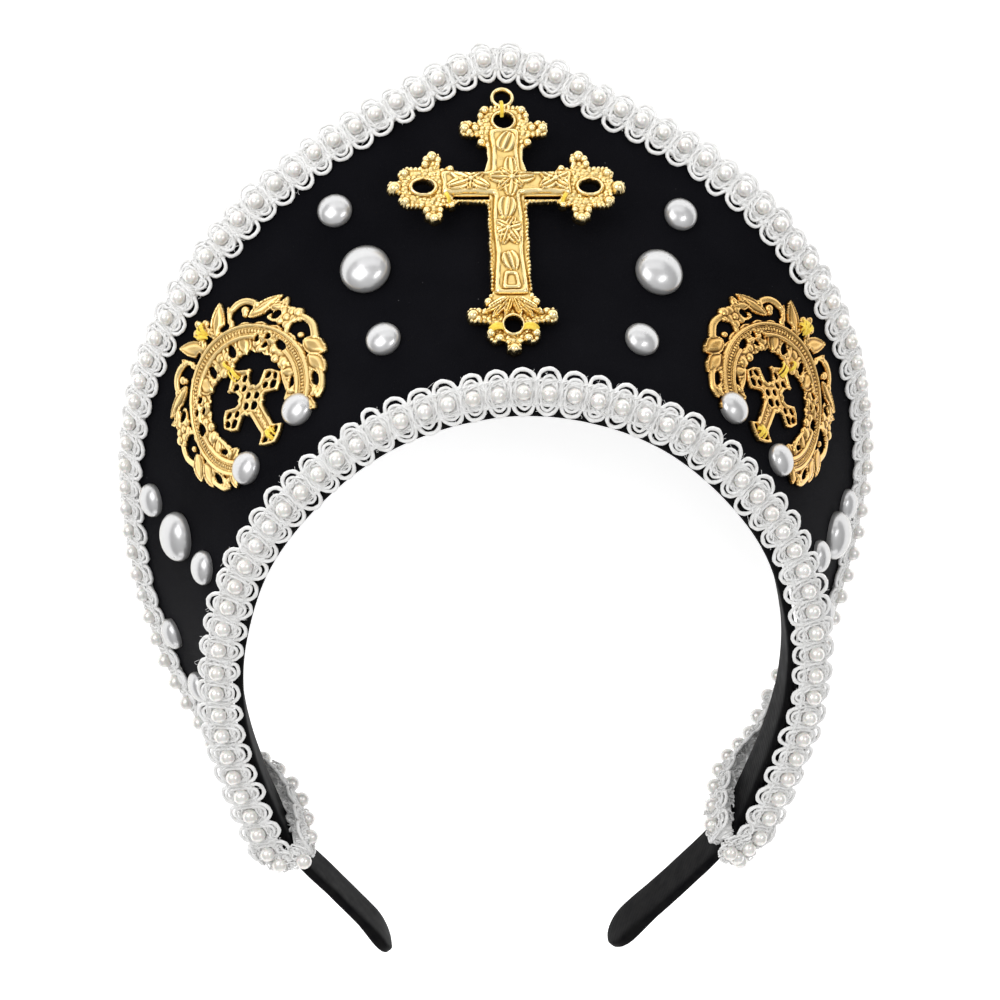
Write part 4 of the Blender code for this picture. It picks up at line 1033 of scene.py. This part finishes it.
def lay_granules(relief, outline, depth):
    """Round grains: a row along the border of the arm ends, and a field inside them."""
    border = Path(np.vstack([outline, outline[:1]]))
    for share in np.arange(-1, 1, 2 * BORDER_PITCH / border.length):
        run = border.along(share)
        px, py = border.at(share) + np.array([-run[1], run[0]]) * 0.45
        if abs(px) > 13.0 or py > 11.4 or py < -31.5:
            relief.ball(px, py, 0.60 + 0.12 * rng.random(), 1.3, 1.85)
    for k, row in enumerate(np.arange(-46, 25, 1.05)):
        for column in np.arange(-28.0 + 0.6 * (k % 2), 29, 1.2):
            px, py = column + 0.25 * rng.normal(), row + 0.2 * rng.normal()
            if abs(px) > 13.6 or py > 12 or py < -34:
                i = int(round((py - relief.y[0, 0]) / relief.pitch))
                j = int(round((px - relief.x[0, 0]) / relief.pitch))
                if 0 <= i < depth.shape[0] and 0 <= j < depth.shape[1] and depth[i, j] > 1.0:
                    radius, crest = 0.6 + 0.15 * rng.random(), 1.65 + 0.15 * rng.random()
                    relief.ball(px, py, radius, 1.35, crest, adds=False)


def draw_cross():
    """The large cross: grained arm ends, beaded sides, a sunk panel with flowers, and its ring."""
    relief = Relief(-31, 31, -50, 31, 0.2, contrast=3.4)
    x, y = relief.x, relief.y
    outline = np.vstack([[(0, CROSS_OUTLINE[0][1] - 0.9)], mirrored(CROSS_OUTLINE)])
    arms = (np.abs(outline[:, 1]) < 12) & (np.abs(outline[:, 0]) > 5.5)
    outline[arms, 1] -= ARM_TRIM
    depth = relief.polygon(outline)
    relief.emboss(depth - 0.25, FLAT_HEIGHT, adds=True)
    lay_granules(relief, outline, depth)
    for side in (-1, 1):
        for py in np.arange(-30.2, -5.4, BORDER_PITCH):
            relief.ball(side * (4.75 + 0.12 * math.sin(py)), py, 0.58, 1.1, 1.95)
        for px in np.arange(4.6, 14, 1.1):
            relief.ball(side * px, -4.6, 0.5, 1.1, 1.9)
        for px, py, radius in CROSS_KNOBS:
            trim = ARM_TRIM if abs(py) < 12 and px > 5.5 else 0
            relief.ball(side * px, py - trim, radius, 1.2, 1.5 + radius * 0.9)
    panel = np.maximum(relief.polygon(mirrored(VERTICAL_PANEL)), relief.polygon(mirrored(CROSS_PANEL)))
    panel = relief.soften(panel, 16)
    swell = 0.10 * np.sin(1.3 * x + 0.7 * y) * np.sin(0.9 * y - 0.4 * x)
    relief.emboss(panel, 1.5 + (1.0 + swell) * quarter_round(panel / 0.9))
    relief.height -= np.where(panel > 0, 0.28 * smooth((panel - 0.75) / 0.55), 0)
    kept = relief.height.copy()
    petals = [(px, py, *petal) for px, py, some in FLOWERS for petal in some]
    for px, py, turn, length, half in petals + list(PETALS):
        relief.petal(px, py, turn, PETAL_LONGER * length, PETAL_WIDER * half, 2.2, 3.15)
    relief.height = np.where((panel > 0.75) | (y < -33.0), relief.height, kept)
    for px, py, _ in FLOWERS:
        relief.ball(px, py, 0.8, 2.6, 3.6, adds=False)
    tablet = relief.soften(relief.polygon(TABLET), 6)
    relief.ridge(np.abs(tablet - 0.3), LINE_HALF, 2.2, 2.8)
    for px, py, half_width, half_height in CROSS_HOLES:
        rim = -relief.oval(px, py, half_width + 0.1, half_height + 0.1)
        relief.ridge(np.abs(rim - LINE_HALF), LINE_HALF, 1.6, 2.4)
        relief.cut(relief.oval(px, py, half_width, half_height))
    for px, py, half_width, half_height in CROSS_SLOTS:
        relief.cut(np.minimum(half_width - np.abs(x - px), half_height - np.abs(y - py)))
    ring = np.abs(np.hypot(x, y - RING_CENTRE_Y) - RING_RADIUS)
    relief.ridge(ring, RING_HALF, 0.4, 1.7, adds=True)
    return relief


# Yellow sewing thread
CROSS_STITCHES = (
    # from x, y, to x, y, strands side by side
    (-0.3, 25.0, -0.2, 20.6, 4), (-15.6, -2.6, -14.4, -5.2, 4), (15.2, -2.6, 13.8, -5.6, 4),
    (-2.2, -41.4, -5.9, -42.0, 5), (2.2, -41.4, 6.2, -42.0, 5),
)
WREATH_STITCHES = (
    (0.2, 23.2, 0.9, 26.6, 5), (-0.2, 23.2, -1.6, 26.1, 5), (0.0, 22.8, -2.4, 24.4, 3),
    (0.6, 13.4, 0.9, 10.6, 4),
)
MINI_STITCHES = ((0.0, 7.4, 0.0, 11.2, 5), (0.0, -10.4, 0.2, -13.9, 5), (-1.2, -12.0, 1.4, -11.8, 3))
CROSS_STITCH_TOP = 3.0
WREATH_STITCH_TOP = 2.1
MINI_STITCH_TOP = 1.7
STITCH_PITCH = 0.36
STITCH_RADIUS = 0.26


def lay_stitches(name, node, rows, top, lay, thread):
    """Strands side by side over a casting, down through it at both ends."""
    soup = Soup()
    t = np.linspace(0, 1, 9)
    arch = np.sin(math.pi * np.clip(t * 0.96 + 0.02, 0, 1)) ** 0.35
    for x0, y0, x1, y1, strands in rows:
        run = np.array([x1 - x0, y1 - y0])
        side = np.array([-run[1], run[0]]) / np.hypot(*run)
        for k in range(strands):
            offset = (k - (strands - 1) / 2) * STITCH_PITCH
            x = x0 + run[0] * t + side[0] * offset * (0.5 + math.sin(2 * k))
            y = y0 + run[1] * t + side[1] * offset
            z = (top + 0.1 * (k % 2)) * arch
            path = lay(x, y, z)
            sweep(soup, path[None], (lay(x, y, z + 1) - path)[None], STITCH_RADIUS, twist=0.9)
    make_piece(name, soup, thread, [node], sharp=80)


def set_inputs(tree, node, **inputs):
    """Sets a node's inputs, or links those given as another node's output; _ stands for a space."""
    for name, value in inputs.items():
        socket = node.inputs[name.replace("_", " ")]
        if isinstance(value, bpy.types.NodeSocket):
            tree.links.new(value, socket)
        else:
            socket.default_value = value
    return node


def add_node(tree, kind, **inputs):
    return set_inputs(tree, tree.nodes.new("ShaderNode" + kind), **inputs)


def on_object(tree, kind, **inputs):
    """A texture node that reads places on the object."""
    place = add_node(tree, "TexCoord").outputs["Object"]
    return add_node(tree, kind, Vector=place, **inputs)


def noise(tree, scale, detail=3.0):
    return on_object(tree, "TexNoise", Scale=scale, Detail=detail).outputs["Fac"]


def ramp(tree, source, *stops):
    """Colours by position; a grey may be given as one number."""
    node = add_node(tree, "ValToRGB", Fac=source)
    elements = node.color_ramp.elements
    elements[1].position = stops[-1][0]
    for number, (position, colour) in enumerate(stops):
        inner = 0 < number < len(stops) - 1
        element = elements.new(position) if inner else elements[0 if number == 0 else -1]
        element.position = position
        element.color = (*(colour if isinstance(colour, tuple) else [colour] * 3), 1)
    return node.outputs["Color"]


def remap(tree, source, low, high):
    return add_node(tree, "MapRange", Value=source, To_Min=low, To_Max=high).outputs["Result"]


class Looks:
    """A material: uniform values first, then what varies over the object, on the same inputs."""

    def __init__(self, name, colour, roughness, **inputs):
        self.material = bpy.data.materials.new(name)
        self.material.use_nodes = True
        self.tree = self.material.node_tree
        self.shader = self.tree.nodes["Principled BSDF"]
        self.set(Base_Color=(*colour, 1), Roughness=roughness, **inputs)

    def set(self, **inputs):
        set_inputs(self.tree, self.shader, **inputs)

    def bump(self, source, strength, distance):
        node = add_node(self.tree, "Bump", Height=source, Strength=strength, Distance=distance)
        self.set(Normal=node.outputs["Normal"])
        return self.material


def velvet_material():
    """Black pile with faint patches and a few specks of lint."""
    looks = Looks("velvet_pile", (0.007, 0.007, 0.009), 0.95, Specular_IOR_Level=0.04,
                  Sheen_Weight=0.02, Sheen_Roughness=0.35)
    tree = looks.tree
    pile = noise(tree, 2600, 2.0)
    tone = ramp(tree, noise(tree, 45, 4.0), (0.3, (0.0030, 0.0030, 0.0042)),
                (0.7, (0.0050, 0.0050, 0.0066)))
    lint = on_object(tree, "TexVoronoi", Scale=330)
    speck = ramp(tree, lint.outputs["Distance"], (0.035, 1), (0.05, 0))
    rare = ramp(tree, noise(tree, 95, 1.0), (0.60, 0), (0.66, 1))
    both = tree.nodes.new("ShaderNodeMath")
    both.operation = "MULTIPLY"
    for socket, source in zip(both.inputs, (speck, rare)):
        tree.links.new(source, socket)
    mix = tree.nodes.new("ShaderNodeMix")
    mix.data_type = "RGBA"
    set_inputs(tree, mix, Factor=both.outputs[0], A=tone, B=(0.10, 0.10, 0.105, 1))
    looks.set(Base_Color=mix.outputs["Result"])
    return looks.bump(pile, 0.6, 0.00025)


def satin_material():
    looks = Looks("satin_cloth", (0.010, 0.010, 0.012), 0.5, Specular_IOR_Level=0.05)
    tree = looks.tree
    weave = on_object(tree, "TexWave", Scale=900, Distortion=1.5)
    looks.set(Base_Color=ramp(tree, noise(tree, 420, 5.0), (0.35, (0.0022, 0.0022, 0.0030)),
                              (0.65, (0.0062, 0.0060, 0.0062))),
              Roughness=remap(tree, noise(tree, 300), 0.5, 0.7))
    return looks.bump(weave.outputs["Fac"], 0.25, 0.0001)


def cord_material():
    looks = Looks("lace_cord", (0.86, 0.855, 0.84), 0.8, Sheen_Weight=0.15, Subsurface_Weight=0.15,
                  Subsurface_Scale=0.0006, Subsurface_Radius=(1.0, 0.95, 0.9))
    tree = looks.tree
    looks.set(Base_Color=ramp(tree, noise(tree, 700, 4.0), (0.30, (0.76, 0.755, 0.74)),
                              (0.55, (0.86, 0.857, 0.85)), (0.8, (0.90, 0.90, 0.895))),
              Roughness=remap(tree, noise(tree, 1500), 0.65, 0.9))
    return looks.bump(noise(tree, 3800, 2.0), 0.7, 0.0002)


def bead_material():
    looks = Looks("bead_pearl", (0.86, 0.85, 0.82), 0.28, Metallic=0.35, Coat_Weight=0.6,
                  Coat_Roughness=0.10, Subsurface_Weight=0.12, Subsurface_Scale=0.001)
    tree = looks.tree
    looks.set(Base_Color=ramp(tree, noise(tree, 160, 2.0), (0.3, (0.74, 0.72, 0.68)),
                              (0.7, (0.80, 0.79, 0.77))))
    return looks.bump(noise(tree, 900), 0.12, 0.00005)


def pearl_material():
    """A pearly coat over a painted reflection: the base colour darkens towards the rim, standing in for the
    black velvet reflected there.
    """
    looks = Looks("cabochon_pearl", (0.60, 0.60, 0.60), 0.3, Metallic=0.62, Coat_Weight=0.8,
                  Coat_Roughness=0.06)
    tree = looks.tree
    facing = add_node(tree, "LayerWeight", Blend=0.45).outputs["Facing"]
    # painted reflection: darker from the middle to the rim, where the velvet would be reflected
    looks.set(Base_Color=ramp(tree, facing, (0.0, (0.61, 0.61, 0.615)), (0.5, 0.53),
                              (0.85, (0.34, 0.33, 0.30)), (1.0, (0.25, 0.24, 0.21))),
              Roughness=remap(tree, noise(tree, 250), 0.24, 0.34))
    return looks.bump(noise(tree, 500), 0.08, 0.00008)


GILTS = (
    # name, colour of the crests with painted highlight, of the body, and of the hollows with painted shade,
    # roughness
    ("bright_gilt_cast", (1.0, 0.81, 0.43), (0.80, 0.57, 0.21), (0.36, 0.20, 0.04), 0.20),
    ("light_gilt_stamp", (0.89, 0.66, 0.30), (0.70, 0.47, 0.17), (0.27, 0.145, 0.035), 0.28),
    ("antique_gilt_stamp", (0.78, 0.50, 0.18), (0.46, 0.26, 0.07), (0.13, 0.06, 0.015), 0.24),
)


def gilt_material(name, crest, body, cavity_shade, roughness):
    """Cast gilt with painted shade darkening its hollows and a painted highlight brightening its crests."""
    looks = Looks(name, body, roughness, Metallic=1.0)
    tree = looks.tree
    depth = tree.nodes.new("ShaderNodeAttribute")
    depth.attribute_name = "relief"
    # painted shade in the hollows and painted highlight on the crests, read from the relief attribute
    looks.set(Base_Color=ramp(tree, depth.outputs["Fac"], (0.12, cavity_shade), (0.47, body), (0.8, crest)),
              Roughness=remap(tree, noise(tree, 420, 4.0), roughness - 0.07, roughness + 0.1))
    return looks.bump(noise(tree, 1300), 0.25, 0.00012)


def thread_material():
    looks = Looks("yellow_thread", (0.85, 0.55, 0.06), 0.6, Sheen_Weight=0.3)
    tree = looks.tree
    looks.set(Base_Color=ramp(tree, noise(tree, 1200), (0.3, (0.82, 0.54, 0.03)), (0.7, (1.0, 0.78, 0.09))))
    return looks.bump(noise(tree, 3000), 0.5, 0.0001)


def floor_material():
    # painted light: the floor glows, washing out the shadows cast on it and lighting the crown from below
    looks = Looks("pale_glowing_floor", (0.93, 0.93, 0.93), 0.9, Specular_IOR_Level=0.1,
                  Emission_Color=(1, 1, 1, 1), Emission_Strength=0.62)
    looks.set(Base_Color=ramp(looks.tree, noise(looks.tree, 3.0), (0.3, 0.925), (0.7, 0.935)))
    return looks.material


def turned_axes(along, across, degrees):
    """Origin and axes on the board's face, turned about its normal."""
    origin, side, rise, normal = (np.array(v) for v in halo_frame(along, across, HALO_THICK / 2))
    c, s = math.cos(math.radians(degrees)), math.sin(math.radians(degrees))
    return origin, side * c + rise * s, rise * c - side * s, normal


def lay_casting(name, node, relief, lay, gilt):
    # tone is painted shade in the hollows and painted highlight on the crests
    points, *faces, tone = relief.mesh(lay)
    soup = Soup()
    soup.add(points, *faces)
    make_piece(name, soup, gilt, [node], relief=tone, sharp=42)


def lay_cross(tree, gilt, thread):
    """The large cross lies flat on the highest places under it."""
    axes = turned_axes(0.0, CROSS_ACROSS, CROSS_TURN)
    bed = Bed(tree, *axes, CROSS_REACH)
    edge_x, edge_y = mirrored(CROSS_OUTLINE).T
    spine = np.arange(-45, 27, 5)
    lift = GAP + max(bed.at(np.append(edge_x, 0 * spine), np.append(edge_y, spine)))

    def lay(x, y, z):
        return local(axes, x, y, z + lift)

    lay_casting("cross_casting", "cross", draw_cross(), lay, gilt)
    lay_stitches("cross_stitches", "cross", CROSS_STITCHES, CROSS_STITCH_TOP, lay, thread)


def lay_wreaths(tree, light, antique, thread):
    """Each wreath and the small cross in it follow the velvet under them."""
    wreath, mini = draw_wreath(), draw_mini_cross()
    for end, key, gilt in (("left", -1, light), ("right", 1, antique)):
        along, across = WREATH_PLACES[key]
        axes = turned_axes(key * along, across, -key * WREATH_TURN)
        bed = Bed(tree, *axes, WREATH_REACH)

        def draped(centre, axes=axes, bed=bed):
            def lay(x, y, z):
                x, y = x + centre[0], y + centre[1]
                return local(axes, x, y, bed.at(x, y) + DRAPE_GAP + z)
            return lay

        parts = (
            ("wreath_", wreath, WREATH_STITCHES, WREATH_STITCH_TOP, draped(WREATH_CENTRES[key])),
            ("small_cross_", mini, MINI_STITCHES, MINI_STITCH_TOP, draped(MINI_CENTRES[key])),
        )
        for part, relief, _, _, lay in parts:
            lay_casting(part + "stamping_" + end, part + end, relief, lay, gilt)
        for part, _, rows, top, lay in parts:
            lay_stitches(part + "stitches_" + end, part + end, rows, top, lay, thread)


# Camera: turned about the crown's y, then x, then rolled, at a distance along its own axis
CAMERA_TURN = 5.5724        # degrees
CAMERA_PITCH = 28.317
CAMERA_ROLL = -1.0807
CAMERA_DISTANCE = 1342.56
CAMERA_SHIFT = (5.0208, -17.0847)
SENSOR = 36.0
PICTURE = 1000              # pixels across
PIXELS_PER_MM = 4.0         # at the crown's origin


def set_camera():
    view = (Matrix.Rotation(math.radians(CAMERA_ROLL), 3, "Z")
            @ Matrix.Rotation(math.radians(CAMERA_PITCH), 3, "X")
            @ Matrix.Rotation(math.radians(CAMERA_TURN), 3, "Y"))
    place = view.transposed() @ Vector((-CAMERA_SHIFT[0], -CAMERA_SHIFT[1], CAMERA_DISTANCE))
    rest_turn = Matrix.Rotation(math.radians(REST_TILT), 3, "X")
    data = bpy.data.cameras.new("camera")
    data.sensor_width = SENSOR
    data.lens = SENSOR * PIXELS_PER_MM * CAMERA_DISTANCE / PICTURE
    data.clip_start = 0.01
    data.clip_end = 20
    camera = bpy.data.objects.new("camera", data)
    camera.matrix_world = Matrix.Translation(REST @ place) @ (rest_turn @ view.transposed()).to_4x4()
    bpy.context.scene.collection.objects.link(camera)
    bpy.context.scene.camera = camera


FLOOR_HALF = 3.0            # metres, like the lights' places and sizes
LIGHTS = (
    # name, place, height aimed at over the middle of the floor, width, height, watts
    ("key", (-0.80, 0.70, 0.95), 0.03, 1.1, 1.0, 8.0),
    ("second", (0.60, 0.45, 1.05), 0.03, 0.30, 0.60, 2.4),
    ("back", (0.0, 1.35, 0.42), 0.03, 1.8, 0.7, 3.6),
    ("front", (0.1, -1.1, 0.35), 0.0, 1.4, 0.5, 3.0),
)


def set_studio():
    """A pale floor that glows as painted light to lift the shadows on it, a soft sky that is brighter
    overhead, and four soft lights.
    """
    scene = bpy.context.scene
    data = bpy.data.meshes.new("floor")
    corners = [(-1, -1), (1, -1), (1, 1), (-1, 1)]
    data.from_pydata([(FLOOR_HALF * x, FLOOR_HALF * y, 0) for x, y in corners], [], [(0, 1, 2, 3)])
    data.materials.append(floor_material())
    floor = bpy.data.objects.new("floor", data)
    scene.collection.objects.link(floor)
    world = bpy.data.worlds.new("studio")
    world.use_nodes = True
    tree = world.node_tree
    split = add_node(tree, "SeparateXYZ", Vector=add_node(tree, "TexCoord").outputs["Generated"])
    sky = ramp(tree, split.outputs["Z"], (0.05, (0.40, 0.40, 0.41)), (0.45, 0.75), (0.9, 1))
    set_inputs(tree, tree.nodes["Background"], Color=sky, Strength=0.72)
    scene.world = world
    for name, place, aim_height, width, height, watts in LIGHTS:
        data = bpy.data.lights.new(name, "AREA")
        data.shape = "RECTANGLE"
        data.size, data.size_y, data.energy = width, height, watts
        light = bpy.data.objects.new(name, data)
        light.location = place
        aim = Vector((0, 0, aim_height)) - Vector(place)
        light.rotation_euler = aim.to_track_quat("-Z", "Y").to_euler()
        scene.collection.objects.link(light)
    scene.view_settings.view_transform = "Standard"


def build():
    lace = cord_material(), bead_material()
    tree = lay_velvet(velvet_material())
    lay_band(satin_material())
    lay_lace("inner_lace", "inner_trim", inner_chart(), *lace, gathered=9.0, knotted=True)
    lay_lace("outer_lace", "outer_trim", border_chart(*border_rows(1, FRONT_LOWER)), *lace)
    lay_lace("back_lace", "back_trim", back_chart(), *lace, gathered=WRAP_RUN, fine=False)
    lay_pearls(pearl_material())
    bright, light, antique = (gilt_material(*gilt) for gilt in GILTS)
    thread = thread_material()
    lay_cross(tree, bright, thread)
    lay_wreaths(tree, light, antique, thread)
    set_studio()
    set_camera()


build()
